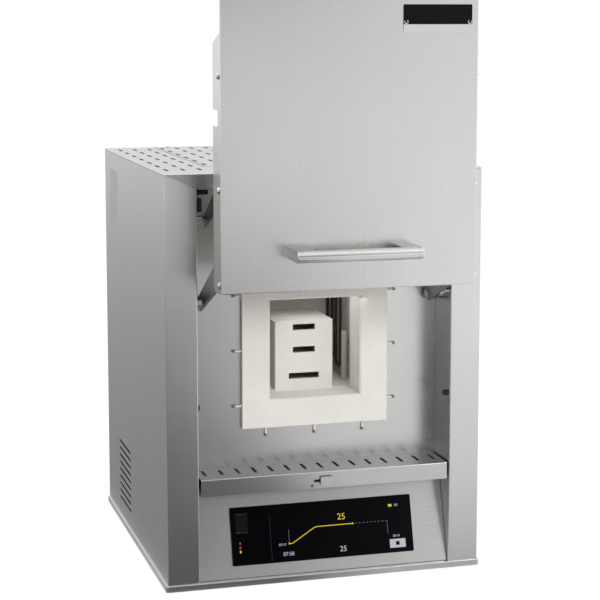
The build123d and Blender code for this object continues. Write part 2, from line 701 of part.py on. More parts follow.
def muffle_collar():
    """Fibre block round the chamber mouth, standing a little proud of the recess wall."""
    x = COLLAR_W / 2
    collar = block(-x, x, COLLAR_FRONT, COLLAR_BACK, COLLAR_Z, COLLAR_Z + COLLAR_H)
    collar -= block(-MOUTH_W / 2, MOUTH_W / 2, COLLAR_FRONT - 1, COLLAR_BACK + 1,
                    CHAMBER_Z, CHAMBER_Z + MOUTH_H)
    mouth_z = (CHAMBER_Z, CHAMBER_Z + MOUTH_H)
    rim = [e for e in collar.edges() if e.center().Y < COLLAR_FRONT + 0.01
           and abs(e.center().X) < x - 1 and mouth_z[0] - 1 < e.center().Z < mouth_z[1] + 1]
    return [chamfer(rim, MOUTH_CHAMFER)]


def chamber_floor():
    return [block(-FIBRE_X, FIBRE_X, COLLAR_BACK, FIBRE_BACK, CHAMBER_Z - FLOOR_T, CHAMBER_Z)]


def chamber_sides():
    wall = block(-FIBRE_X, -CHAMBER_W / 2, COLLAR_BACK, FIBRE_BACK, CHAMBER_Z, CHAMBER_TOP)
    return both_sides(wall)


def chamber_rear():
    """Rear block with the thermocouple's bore."""
    wall = block(-CHAMBER_W / 2, CHAMBER_W / 2, CHAMBER_BACK, FIBRE_BACK, CHAMBER_Z, CHAMBER_TOP)
    return [wall - rod_y(CHAMBER_BACK - 1, FIBRE_BACK + 1, 0, THERMO_Z, THERMO_R + RUN_GAP)]


def terminal_places():
    """Plan positions of the element terminals on the left side."""
    return [(-ELEMENT_X, y + leg) for y in ELEMENT_Y for leg in (-ELEMENT_LEG / 2, ELEMENT_LEG / 2)]


def terminal_bores(z0, z1, r):
    """Cutters for the terminals of both sides."""
    return [rod_z(z0, z1, side * x, y, r) for x, y in terminal_places() for side in (-1, 1)]


def chamber_roof():
    """Roof block that the element terminals pass through."""
    slab = block(-FIBRE_X, FIBRE_X, COLLAR_BACK, FIBRE_BACK, CHAMBER_TOP, CHAMBER_TOP + ROOF_T)
    return [slab - terminal_bores(CHAMBER_TOP - 1, CHAMBER_TOP + ROOF_T + 1, TERMINAL_R + TERMINAL_HOLE)]


def backup_insulation():
    """Outer fibre round the chamber blocks and the collar."""
    body = block(-BACKUP_X, BACKUP_X, SHELL_FRONT, BACKUP_Y, BACKUP_LOW, BACKUP_TOP)
    body -= block(-FIBRE_X, FIBRE_X, COLLAR_BACK, FIBRE_BACK, CHAMBER_Z - FLOOR_T, CHAMBER_TOP + ROOF_T)
    x = COLLAR_W / 2
    body -= block(-x, x, SHELL_FRONT - 1, COLLAR_BACK + 0.1, COLLAR_Z, COLLAR_Z + COLLAR_H)
    body -= terminal_bores(CHAMBER_TOP, BACKUP_TOP + 1, TERMINAL_R + TERMINAL_HOLE)
    return [body - rod_y(FIBRE_BACK - 1, BACKUP_Y + 1, 0, THERMO_Z, THERMO_R + RUN_GAP)]


def inner_casing():
    """Sheet shell round the insulation, open at its front, with a slot over the terminals."""
    body = block(-SHELL_X, SHELL_X, SHELL_FRONT, SHELL_BACK, SHELL_LOW, SHELL_TOP)
    hollow = block(-SHELL_X + SHEET, SHELL_X - SHEET, SHELL_FRONT - 1, SHELL_BACK - SHEET,
                   SHELL_LOW + SHEET, SHELL_TOP - SHEET)
    body -= hollow
    body -= terminal_bores(SHELL_TOP - SHEET - 1, SHELL_TOP + 1, TERMINAL_R + TERMINAL_HOLE + 1)
    return [body - rod_y(SHELL_BACK - SHEET - 1, SHELL_BACK + 1, 0, THERMO_Z, THERMO_R + RUN_GAP)]


def mid_deck():
    """Sheet that carries the chamber and covers the electronics."""
    z1 = SHELL_LOW
    deck = block(-HALF_IN, HALF_IN, SHELL_FRONT, REAR_IN, z1 - DECK_T, z1)
    for side in (-1, 1):
        deck += block(side * (HALF_IN - DECK_T), side * HALF_IN, SHELL_FRONT, REAR_IN, z1 - DECK_FOLD, z1)
    y = SHELL_BACK + DECK_HOLE_GAP
    half = DECK_HOLE / 2
    return [deck - [block(x - half, x + half, y, y + DECK_HOLE, z1 - DECK_T - 1, z1 + 1)
                    for x in (-DECK_HOLE_X, DECK_HOLE_X)]]


def heating_elements(side):
    """Two hairpin elements with thick terminals, hung beside the charge."""
    top = BACKUP_TOP + TERMINAL_UP
    hot_top = CHAMBER_TOP - TERMINAL_DROP
    arc_r = ELEMENT_LEG / 2
    hairpins = []
    for y in ELEMENT_Y:
        path = Wire([
            Edge.make_line((0, y - arc_r, hot_top), (0, y - arc_r, ELEMENT_FOOT_Z + arc_r)),
            Edge.make_three_point_arc((0, y - arc_r, ELEMENT_FOOT_Z + arc_r), (0, y, ELEMENT_FOOT_Z),
                                      (0, y + arc_r, ELEMENT_FOOT_Z + arc_r)),
            Edge.make_line((0, y + arc_r, ELEMENT_FOOT_Z + arc_r), (0, y + arc_r, hot_top))])
        section = Pos(0, y - arc_r, hot_top) * Circle(ROD_R)
        hairpin = sweep(section, path)
        for leg in (-arc_r, arc_r):
            hairpin += rod_z(hot_top - 0.5, top, 0, y + leg, TERMINAL_R)
        hairpins.append(Pos(side * ELEMENT_X, 0, 0) * hairpin)
    return hairpins


def element_holders():
    """Ceramic bushes on the casing, one round each terminal."""
    bushes = []
    for x, y in terminal_places():
        bush = rod_z(SHELL_TOP, SHELL_TOP + HOLDER_H, x, y, HOLDER_R)
        bush -= rod_z(SHELL_TOP - 1, SHELL_TOP + HOLDER_H + 1, x, y, TERMINAL_R + RUN_GAP / 2)
        bushes += both_sides(bush)
    return bushes


def element_straps():
    """Braided straps that join the terminals in series."""
    z0 = SHELL_TOP + STRAP_UP
    places = terminal_places()
    near = places[1][1]
    far = places[2][1]
    last = places[3][1]
    bore = TERMINAL_R + RUN_GAP / 2
    link = block(-ELEMENT_X - STRAP_W / 2, -ELEMENT_X + STRAP_W / 2, near - STRAP_W, far + STRAP_W,
                 z0, z0 + STRAP_T)
    link -= [rod_z(z0 - 1, z0 + STRAP_T + 1, -ELEMENT_X, y, bore) for y in (near, far)]
    across = block(-ELEMENT_X - STRAP_W, ELEMENT_X + STRAP_W, last - STRAP_W / 2, last + STRAP_W / 2,
                   z0 - 2 * STRAP_T, z0 - STRAP_T)
    across -= [rod_z(z0 - 3 * STRAP_T, z0, side * ELEMENT_X, last, bore) for side in (-1, 1)]
    return both_sides(link) + [across]


def element_guards():
    """Ceramic posts that keep the charge off the elements."""
    return both_sides(rod_z(CHAMBER_Z, CHAMBER_Z + GUARD_H, -ELEMENT_X, GUARD_Y, GUARD_R))


def thermocouple():
    """Ceramic sheath through the rear wall, with its connection head."""
    sheath = rod_y(CHAMBER_BACK - THERMO_IN, SHELL_BACK + 4, 0, THERMO_Z, THERMO_R)
    head = rod_y(SHELL_BACK, SHELL_BACK + THERMO_HEAD_L, 0, THERMO_Z, THERMO_HEAD_R)
    return [sheath + head]


def tray_z(index):
    """Height of the underside of one tray in the stack."""
    return CHAMBER_Z + sum(TRAY_HEIGHTS[:index])


def saggar(index):
    """One open ceramic tray, with a vent notch in its front and back walls."""
    z = tray_z(index)
    height = TRAY_HEIGHTS[index]
    body = block(-TRAY_W / 2, TRAY_W / 2, TRAY_FRONT, TRAY_FRONT + TRAY_D, z, z + height)
    body = fillet(edges_where(body, Axis.Z, lambda c: True), 1.5)
    body -= block(-TRAY_W / 2 + TRAY_WALL, TRAY_W / 2 - TRAY_WALL, TRAY_FRONT + TRAY_WALL,
                  TRAY_FRONT + TRAY_D - TRAY_WALL, z + TRAY_WALL, z + height + 1)
    vent = TRAY_VENTS[index] / 2
    return [body - block(-vent, vent, TRAY_FRONT - 1, TRAY_FRONT + TRAY_D + 1,
                         z + height - TRAY_VENT_H, z + height + 1)]


def saggar_lid():
    z = tray_z(len(TRAY_HEIGHTS))
    lid = block(-TRAY_W / 2, TRAY_W / 2, TRAY_FRONT, TRAY_FRONT + TRAY_D, z, z + TRAY_LID_T)
    return [fillet(edges_where(lid, Axis.Z, lambda c: True), 1.5)]


def anchor_pins():
    """Ceramic pins in the edges of the collar, lying against the recess wall."""
    y = RECESS_D - RUN_GAP / 2 - ANCHOR_R
    x = COLLAR_W / 2
    pins = []
    for z in spread(3, ANCHOR_STEP_Z):
        pins += both_sides(rod_x(-x - ANCHOR_OUT, -x, y, MOUTH_Z + z, ANCHOR_R))
    for px in spread(3, ANCHOR_STEP_X):
        pins.append(rod_z(COLLAR_Z - ANCHOR_OUT, COLLAR_Z, px, y, ANCHOR_R))
        pins.append(rod_z(COLLAR_Z + COLLAR_H, COLLAR_Z + COLLAR_H + ANCHOR_OUT, px, y, ANCHOR_R))
    return pins


def anchor_tips():
    """Dark wire ends of the pins."""
    y = RECESS_D - RUN_GAP / 2 - ANCHOR_TIP_R
    length = 2 * ANCHOR_TIP_R
    x = COLLAR_W / 2 + ANCHOR_OUT
    tips = []
    for z in spread(3, ANCHOR_STEP_Z):
        tips += both_sides(rod_x(-x - length, -x, y, MOUTH_Z + z, ANCHOR_TIP_R))
    for px in spread(3, ANCHOR_STEP_X):
        low = COLLAR_Z - ANCHOR_OUT
        high = COLLAR_Z + COLLAR_H + ANCHOR_OUT
        tips.append(rod_z(low - length, low, px, y, ANCHOR_TIP_R))
        tips.append(rod_z(high, high + length, px, y, ANCHOR_TIP_R))
    return tips


def door_side():
    """Outline of the left side flange, as (y, z) from the door's front lower corner."""
    face = make_face(Polyline(
        (0, 0), (FLANGE_D - FLANGE_CUT, 0), (FLANGE_D, FLANGE_CUT), (FLANGE_D, FLANGE_TOP - FLANGE_SLANT),
        (SHEET, FLANGE_TOP), (0, FLANGE_TOP), close=True))
    notch_y = (NOTCH_FRONT + FLANGE_D + NOTCH_CORNER) / 2
    notch = Pos(notch_y, (NOTCH_LOW + NOTCH_HIGH) / 2) * RectangleRounded(
        FLANGE_D + NOTCH_CORNER - NOTCH_FRONT, NOTCH_HIGH - NOTCH_LOW, NOTCH_CORNER)
    return face - notch


def door_panel():
    """Folded door skin with side flanges, which clear the studs when it shuts."""
    top = DOOR_Z + DOOR_H
    skin = block(-DOOR_X, DOOR_X, DOOR_Y, DOOR_Y + SHEET, DOOR_Z, top)
    skin = fillet(edges_where(skin, Axis.Y, lambda c: c.Z > top - 1), DOOR_CORNER)
    skin += block(-DOOR_X, DOOR_X, DOOR_Y, DOOR_Y + DOOR_RETURN, DOOR_Z, DOOR_Z + SHEET)
    x = DOOR_X - DOOR_CORNER
    skin += block(-x, x, DOOR_Y, DOOR_Y + DOOR_RETURN, top - SHEET, top)
    outline = Plane(origin=(-DOOR_X, DOOR_Y, DOOR_Z), x_dir=(0, 1, 0), z_dir=(1, 0, 0)) * door_side()
    flange = extrude(outline, SHEET)
    for z in FLANGE_SCREWS:
        flange -= rod_x(-DOOR_X - 1, -DOOR_X + SHEET + 1, DOOR_Y + FLANGE_SCREW_IN, DOOR_Z + z,
                        FLANGE_SCREW_R / 2 + RUN_GAP / 2)
    skin += both_sides(flange)
    front = [e for e in skin.edges() if e.center().Y < DOOR_Y + 0.01]
    return [fillet(front, BEND)]


def door_pan():
    """Pan behind the skin that holds the door insulation."""
    z = DOOR_Z + PLUG_MID
    x = PAN_W / 2
    y = DOOR_Y + SHEET
    pan = block(-x, x, y, y + PAN_D, z - PAN_H / 2, z + PAN_H / 2)
    hollow = block(-x + PAN_SHEET, x - PAN_SHEET, y + PAN_SHEET, y + PAN_D + 1,
                   z - PAN_H / 2 + PAN_SHEET, z + PAN_H / 2 - PAN_SHEET)
    return [pan - hollow]


def door_plug():
    """Fibre insulation of the door: a slab in the pan, a face and a nose for the mouth."""
    z = DOOR_Z + PLUG_MID
    x = PAN_W / 2 - PAN_SHEET - RUN_GAP
    half = PAN_H / 2 - PAN_SHEET - RUN_GAP
    y0 = DOOR_Y + SHEET + PAN_SHEET
    face = DOOR_Y + COLLAR_FRONT - PLUG_GAP
    slab = block(-x, x, y0, DOOR_Y + SHEET + PAN_D, z - half, z + half)
    slab += block(-PLUG_W / 2, PLUG_W / 2, y0, face, z - PLUG_H / 2, z + PLUG_H / 2)
    nose_x = MOUTH_W / 2 - NOSE_CLEAR
    nose_z = MOUTH_H / 2 - NOSE_CLEAR
    nose = block(-nose_x, nose_x, face - 1, face + NOSE_D, z - nose_z, z + nose_z)
    nose = fillet([e for e in nose.edges() if e.center().Y > face + NOSE_D - 0.01], NOSE_CORNER)
    return [slab + nose]


def handle_bar():
    """Round grip with a grooved cap at each end."""
    z = DOOR_Z + HANDLE_UP
    y = DOOR_Y - HANDLE_REACH + HANDLE_R
    half = HANDLE_L / 2
    bar = rod_x(-half, half, y, z, HANDLE_R)
    bar = chamfer([e for e in bar.edges() if abs(e.center().X) > half - 0.01], 0.6)
    for at in (HANDLE_CAP - half, half - HANDLE_CAP):
        ring = rod_x(at - HANDLE_GROOVE, at + HANDLE_GROOVE, y, z, HANDLE_R + 1)
        bar -= ring - rod_x(at - 1, at + 1, y, z, HANDLE_R - HANDLE_GROOVE)
    return [bar]


def handle_brackets():
    """Square stand-offs between the door and the grip."""
    z = DOOR_Z + HANDLE_UP
    y = DOOR_Y - HANDLE_REACH + HANDLE_R
    x0 = -HANDLE_L / 2
    arm = block(x0, x0 + BRACKET_W, y, DOOR_Y, z - BRACKET_H / 2, z + BRACKET_H / 2)
    arm = chamfer(edges_where(arm, Axis.Y, lambda c: True), BRACKET_EDGE)
    return both_sides(arm - rod_x(x0 - 1, x0 + BRACKET_W + 1, y, z, HANDLE_R + PIN_FIT))


def nameplate():
    """Blank plate at the top right of the door."""
    z = DOOR_Z + DOOR_H - PLATE_FROM_TOP
    plate = block(PLATE_X - PLATE_W / 2, PLATE_X + PLATE_W / 2, DOOR_Y - PLATE_T, DOOR_Y,
                  z - PLATE_H / 2, z + PLATE_H / 2)
    return [fillet(edges_where(plate, Axis.Y, lambda c: True), PLATE_CORNER)]


def door_screws():
    """Pan-head screws of the side flanges and round pins of the nameplate."""
    screws = []
    for z in FLANGE_SCREWS:
        y = DOOR_Y + FLANGE_SCREW_IN
        head = rod_x(-DOOR_X - SCREW_H, -DOOR_X, y, DOOR_Z + z, FLANGE_SCREW_R)
        head = fillet([e for e in head.edges() if e.center().X < -DOOR_X - SCREW_H + 0.01], SCREW_H * 0.8)
        shank = rod_x(-DOOR_X - SCREW_H / 2, -DOOR_X + SHEET, y, DOOR_Z + z, FLANGE_SCREW_R / 2)
        screws += both_sides(head + shank)
    z = DOOR_Z + DOOR_H - PLATE_FROM_TOP - PLATE_SCREW_DOWN
    for side in (-1, 1):
        x = PLATE_X + side * (PLATE_W / 2 - PLATE_SCREW_IN)
        pin = rod_y(DOOR_Y - PLATE_T - 1, DOOR_Y - PLATE_T, x, z, PLATE_SCREW_R)
        screws.append(fillet([e for e in pin.edges() if e.center().Y < DOOR_Y - PLATE_T - 0.99], 0.7))
    return screws


def lever(x0, step):
    """One pressed lever, from its casing pivot round a heel to its door pin."""
    hub = Circle(LEVER_R)
    heel = Pos(LEVER_BEND_Y, LEVER_BEND_Z) * Circle(LEVER_BEND_R)
    end = Pos(LEVER_Y, LEVER_Z) * Circle(LEVER_END_R)
    outline = make_hull((hub + heel + end).edges())
    bore = Circle(PIN_NECK_R + PIN_FIT)
    outline -= [bore, Pos(LEVER_Y, LEVER_Z) * bore]
    place = Plane(origin=(-x0 - LEVER_T, PIVOT_Y, PIVOT_Z + step), x_dir=(0, 1, 0), z_dir=(1, 0, 0))
    return extrude(place * outline, LEVER_T)


def lower_levers():
    return both_sides(lever(LOWER_LEVER_X, 0))


def upper_levers():
    return both_sides(lever(UPPER_LEVER_X, PIVOT_STEP))


def pivot_pin(x0, root_x, y, z):
    """Shouldered pin from a wall at root_x through a lever that starts at x0, with its head."""
    shoulder = x0 + LEVER_T + RUN_GAP
    pin = rod_x(-root_x, -shoulder, y, z, PIN_SHAFT_R)
    pin += rod_x(-shoulder, -x0 + RUN_GAP, y, z, PIN_NECK_R)
    head = rod_x(-x0 + RUN_GAP, -x0 + RUN_GAP + PIN_HEAD_T, y, z, PIN_HEAD_R)
    head = chamfer([e for e in head.edges() if e.center().X > -x0 + RUN_GAP + PIN_HEAD_T - 0.01], 0.8)
    return pin + head


def pivot_pins():
    """Pins in the recess walls that the levers turn on."""
    pins = both_sides(pivot_pin(LOWER_LEVER_X, POST_IN, PIVOT_Y, PIVOT_Z))
    return pins + both_sides(pivot_pin(UPPER_LEVER_X, POST_IN, PIVOT_Y, PIVOT_Z + PIVOT_STEP))


def door_pins():
    """Pins in the door flanges that the levers carry."""
    inner = DOOR_X - SHEET
    pins = both_sides(pivot_pin(LOWER_LEVER_X, inner, DOOR_PIN_Y, DOOR_PIN_Z))
    return pins + both_sides(pivot_pin(UPPER_LEVER_X, inner, DOOR_PIN_Y, DOOR_PIN_Z + PIVOT_STEP))


def spring_studs():
    """Studs in the recess walls that the spring hooks catch."""
    studs = []
    for step in (0, PIVOT_STEP):
        z = PIVOT_Z + STUD_UP + step
        stud = rod_x(-POST_IN, -POST_IN + STUD_REACH, STUD_Y, z, STUD_R)
        stud = chamfer([e for e in stud.edges() if e.center().X > -POST_IN + STUD_REACH - 0.01], 0.6)
        studs += both_sides(stud)
    return studs


def spring_point(turn):
    """Point and direction on the left spring's coil, so many radians from its leg."""
    rise = SPRING_PITCH / (2 * pi)
    angle = LEG_ANGLE + turn
    place = Vector(-POST_IN + SPRING_IN + rise * turn,
                   PIVOT_Y + SPRING_R * sin(angle), PIVOT_Z + SPRING_R * cos(angle))
    return place, Vector(rise, SPRING_R * cos(angle), -SPRING_R * sin(angle)).normalized()


def leg_direction():
    """Direction of the spring's leg, from its end towards the coil."""
    return Vector(0, cos(LEG_ANGLE), -sin(LEG_ANGLE))


def two_arcs(start, along, end, ahead):
    """Two arcs, tangent to each other, from one point and direction to another."""
    chord = end - start
    turned = 2 * (1 - along.dot(ahead))
    reach = chord.dot(along + ahead)
    arm = ((reach ** 2 + turned * chord.dot(chord)) ** 0.5 - reach) / turned
    knee = (start + along * arm + end - ahead * arm) * 0.5
    first = Edge.make_tangent_arc(start, along, knee)
    return [first, Edge.make_tangent_arc(knee, first % 1, end)]


def torsion_springs():
    """Coils round the lower pivots, each with a leg that lies on its stud."""
    start = spring_point(0)[0]
    along = leg_direction()
    edges = [Edge.make_line(start - along * LEG_L, start)]
    for quarter in range(SPRING_QUARTERS):
        end, ahead = spring_point((quarter + 1) * pi / 2)
        edges += two_arcs(start, along, end, ahead)
        start, along = end, ahead
    edges.append(Edge.make_line(start, start + along * SPRING_TAIL))
    path = Wire(edges)
    section = Plane(origin=path @ 0, z_dir=path % 0) * Circle(SPRING_WIRE_R)
    return both_sides(sweep(section, path))


def spring_gap():
    """Least gap between turns of a spring, measured on points along its wire."""
    start = spring_point(0)[0]
    leg = [start - leg_direction() * (LEG_L * (1 - i / 50)) for i in range(50)]
    coil = [spring_point(i * pi / 36)[0] for i in range(18 * SPRING_QUARTERS + 1)]
    points = leg + coil
    return min((a - b).length for i, a in enumerate(points) for b in points[i + 36:]) - 2 * SPRING_WIRE_R


def door_buffers():
    """Rubber knobs that guide the door into the recess."""
    knob = rod_x(-POST_IN, -POST_IN + BUFFER_L, BUFFER_Y, BUFFER_Z, BUFFER_R)
    return both_sides(fillet([e for e in knob.edges() if e.center().X > -POST_IN + BUFFER_L - 0.01], 1.5))


def sensor_holder():
    """Black holder of the door sensor, on the left wall of the recess."""
    x0 = -POST_IN
    body = block(x0, x0 + HOLDER_REACH, HOLDER_FRONT, HOLDER_BACK, HOLDER_BOTTOM, HOLDER_TOP)
    body = fillet(edges_where(body, Axis.X, lambda c: True), BEND)
    ear = block(x0, x0 + HOLDER_EAR_T, SENSOR_Y - SENSOR_NUT_R, SENSOR_Y + SENSOR_NUT_R,
                HOLDER_TOP - 2 * HOLDER_EAR_T, SENSOR_Z + SENSOR_NUT_R)
    return body + ear - rod_x(x0 - 1, x0 + HOLDER_EAR_T + 1, SENSOR_Y, SENSOR_Z, SENSOR_R + PIN_FIT)


def door_sensor():
    """Proximity sensor that points across the recess, with its nut and its holder."""
    face = -POST_IN + HOLDER_EAR_T
    tip = SENSOR_REACH - POST_IN
    barrel = rod_x(-POST_IN, tip, SENSOR_Y, SENSOR_Z, SENSOR_R)
    barrel = chamfer([e for e in barrel.edges() if e.center().X > tip - 0.01], BRACKET_EDGE)
    hexagon = Plane(origin=(face, SENSOR_Y, SENSOR_Z), x_dir=(0, 1, 0), z_dir=(1, 0, 0))
    nut = extrude(hexagon * RegularPolygon(SENSOR_NUT_R, 6), SENSOR_NUT_T)
    return [barrel + nut, sensor_holder()]


def transformer():
    """Laminated core with two windows, standing on the base, and its winding."""
    z = BASE_TOP
    core = block(CORE_X - CORE_W / 2, CORE_X + CORE_W / 2, CORE_Y - CORE_D / 2, CORE_Y + CORE_D / 2,
                 z, z + CORE_H)
    window_w = (CORE_W - 4 * CORE_LIMB) / 2
    for side in (-1, 1):
        x0 = CORE_X + side * CORE_LIMB
        core -= block(x0, x0 + side * window_w, CORE_Y - CORE_D, CORE_Y + CORE_D,
                      z + CORE_LIMB, z + CORE_H - CORE_LIMB)
    z0 = z + CORE_LIMB + RUN_GAP
    z1 = z + CORE_H - CORE_LIMB - RUN_GAP
    x = CORE_LIMB + window_w - RUN_GAP
    y = CORE_D / 2 + window_w - RUN_GAP
    coil = block(CORE_X - x, CORE_X + x, CORE_Y - y, CORE_Y + y, z0, z1)
    coil = fillet(edges_where(coil, Axis.Z, lambda c: True), COIL_CORNER)
    x = CORE_LIMB + RUN_GAP
    y = CORE_D / 2 + RUN_GAP
    return [core, coil - block(CORE_X - x, CORE_X + x, CORE_Y - y, CORE_Y + y, z0 - 1, z1 + 1)]


def power_controller():
    """Thyristor controller on a finned heat sink."""
    z = BASE_TOP
    x = SCR_W / 2
    y = SCR_D / 2
    top = z + SCR_H / 2
    sink = block(SCR_X - x, SCR_X + x, SCR_Y - y, SCR_Y + y, z, top)
    fin = SCR_W / (2 * SCR_FINS + 1)
    for i in range(SCR_FINS):
        x0 = SCR_X - x + fin * (2 * i + 1)
        sink -= block(x0, x0 + fin, SCR_Y - y - 1, SCR_Y + y + 1, z + SCR_BASE, top - SCR_BASE)
    x -= SCR_IN
    y -= SCR_IN
    return [sink + block(SCR_X - x, SCR_X + x, SCR_Y - y, SCR_Y + y, top - 1, z + SCR_H)]


def contactor():
    """Mains contactor with a stepped top."""
    x0 = CONTACTOR_X - CONTACTOR_W / 2
    y0 = CONTACTOR_Y - CONTACTOR_D / 2
    shoulder = BASE_TOP + CONTACTOR_H - CONTACTOR_STEP
    body = block(x0, x0 + CONTACTOR_W, y0, y0 + CONTACTOR_D, BASE_TOP, shoulder)
    body += block(x0, x0 + CONTACTOR_W, y0 + CONTACTOR_STEP / 2, y0 + CONTACTOR_D - CONTACTOR_STEP / 2,
                  BASE_TOP, BASE_TOP + CONTACTOR_H)
    return [body]


def fan_frame():
    """Square fan housing on the rear panel, with a motor seat on three arms."""
    y0 = REAR_IN - FAN_T
    frame = block(FAN_X - FAN / 2, FAN_X + FAN / 2, y0, REAR_IN, FAN_Z - FAN / 2, FAN_Z + FAN / 2)
    frame = fillet(edges_where(frame, Axis.Y, lambda c: True), BASE_CORNER)
    bore = FAN / 2 - FAN_WALL
    frame -= rod_y(y0 - 1, REAR_IN + 1, FAN_X, FAN_Z, bore)
    frame += rod_y(y0, y0 + FAN_ARM_T, FAN_X, FAN_Z, FAN_HUB_R)
    arm = Pos(0, 0, (bore + FAN_HUB_R) / 2) * Box(FAN_ARM_W, FAN_ARM_T, bore - FAN_HUB_R + FAN_WALL)
    middle = Pos(FAN_X, y0 + FAN_ARM_T / 2, FAN_Z)
    frame += [middle * Rot(0, 120 * turn, 0) * arm for turn in range(3)]
    return [frame + rod_y(y0 + 1, REAR_IN - FAN_NOSE, FAN_X, FAN_Z, FAN_SHAFT_R)]


def fan_rotor():
    """Hub and pitched blades of the fan, on the shaft of its frame."""
    y0 = REAR_IN - FAN_T + FAN_ARM_T + RUN_GAP
    y1 = REAR_IN - FAN_IN
    tip = FAN / 2 - FAN_WALL - FAN_TIP_GAP
    rotor = rod_y(y0, y1, 0, 0, FAN_HUB_R)
    root = FAN_HUB_R - FAN_WALL
    blade = Rot(0, 0, BLADE_PITCH) * Box(BLADE_T, 2 * FAN_T, tip + 1 - root)
    blade = Pos(0, (y0 + y1) / 2, (tip + 1 + root) / 2) * blade
    rotor += [Rot(0, 360 / FAN_BLADES * i, 0) * blade for i in range(FAN_BLADES)]
    rotor &= rod_y(y0, y1, 0, 0, tip)
    rotor -= rod_y(y0 - 1, REAR_IN - FAN_NOSE + RUN_GAP, 0, 0, FAN_SHAFT_R + PIN_FIT)
    return [Pos(FAN_X, 0, FAN_Z) * rotor]


def fan_guard():
    """Wire guard outside the rear panel."""
    y = CASE_D + GUARD_WIRE_R
    guard = Pos(FAN_X, y, FAN_Z) * Rot(90, 0, 0) * Torus(GUARD_RINGS[0], GUARD_WIRE_R)
    for r in GUARD_RINGS[1:]:
        guard += Pos(FAN_X, y, FAN_Z) * Rot(90, 0, 0) * Torus(r, GUARD_WIRE_R)
    for turn in (45, 135):
        guard += Pos(FAN_X, y, FAN_Z) * Rot(0, turn, 0) * Cylinder(GUARD_WIRE_R, 2 * GUARD_REACH)
    return [guard]


def power_inlet():
    """Mains inlet with a socket well and a window for the rocker."""
    face = CASE_D + INLET_T
    plate = block(INLET_X - INLET_W / 2, INLET_X + INLET_W / 2, CASE_D, face,
                  INLET_Z - INLET_H / 2, INLET_Z + INLET_H / 2)
    plate = fillet(edges_where(plate, Axis.Y, lambda c: True), INLET_RIM)
    x = INLET_W / 2 - INLET_RIM
    z = INLET_H / 2 - INLET_RIM
    plate += block(INLET_X - x, INLET_X + x, CASE_D - INLET_D, face - 1, INLET_Z - z, INLET_Z + z)
    well_x = INLET_X + SOCKET_X
    well_y = face - SOCKET_D
    plate -= block(well_x - SOCKET_W / 2, well_x + SOCKET_W / 2, well_y, face + 1,
                   INLET_Z - SOCKET_H / 2, INLET_Z + SOCKET_H / 2)
    for px, pz in ((-BLADE_STEP, 0), (0, BLADE_UP), (BLADE_STEP, 0)):
        plate += block(well_x + px - 1, well_x + px + 1, well_y - 1, CASE_D,
                       INLET_Z + pz - BLADE_UP, INLET_Z + pz)
    rx = INLET_X + ROCKER_X
    x = ROCKER_W / 2 + RUN_GAP
    z = ROCKER_H / 2 + ROCKER_SPARE
    plate -= block(rx - x, rx + x, CASE_D - SWITCH_D, face + 1, INLET_Z - z, INLET_Z + z)
    return [plate + rod_x(rx - x - 1, rx + x + 1, face - ROCKER_BACK, INLET_Z, ROCKER_PIN_R)]


def mains_rocker():
    """Rocker of the mains switch on its cross pin, resting tilted to one side."""
    x0 = INLET_X + ROCKER_X - ROCKER_W / 2
    x1 = x0 + ROCKER_W
    body = rod_x(x0, x1, ROCKER_BACK + ROCKER_OUT - ROCKER_R, 0, ROCKER_R)
    body &= block(x0, x1, -ROCKER_BACK, ROCKER_R, -ROCKER_H / 2, ROCKER_H / 2)
    body -= rod_x(x0 - 1, x1 + 1, 0, 0, ROCKER_PIN_R + PIN_FIT)
    return [Pos(0, CASE_D + INLET_T - ROCKER_BACK, INLET_Z) * Rot(-ROCKER_TILT, 0, 0) * body]


def exhaust_stub():
    """Short flue tube with a flange on the rear panel."""
    tube = rod_y(CASE_D - STUB_IN, CASE_D + STUB_OUT, 0, STUB_Z, STUB_R)
    tube += rod_y(CASE_D, CASE_D + SHEET, 0, STUB_Z, STUB_FLANGE_R)
    return [tube - rod_y(CASE_D - STUB_IN - 1, CASE_D + STUB_OUT + 1, 0, STUB_Z, STUB_R - STUB_WALL)]


def casing_screws():
    """Pan-head screws of the lid and the rear panel."""
    screws = []
    for x in (-LID_SCREW_X, LID_SCREW_X):
        head = rod_z(CASE_TOP, CASE_TOP + SCREW_H, x, REAR_IN - LID_SCREW_IN, SCREW_R)
        rim = [e for e in head.edges() if e.center().Z > CASE_TOP + SCREW_H - 0.01]
        screws.append(fillet(rim, SCREW_ROUND))
    for z in (BASE_TOP + SCREW_IN, (BASE_TOP + CASE_TOP) / 2, CASE_TOP - SCREW_IN):
        for x in (SCREW_IN - HALF_W, HALF_W - SCREW_IN):
            head = rod_y(CASE_D, CASE_D + SCREW_H, x, z, SCREW_R)
            rim = [e for e in head.edges() if e.center().Y > CASE_D + SCREW_H - 0.01]
            screws.append(fillet(rim, SCREW_ROUND))
    return screws


LEFT_SIDE = side_panel()

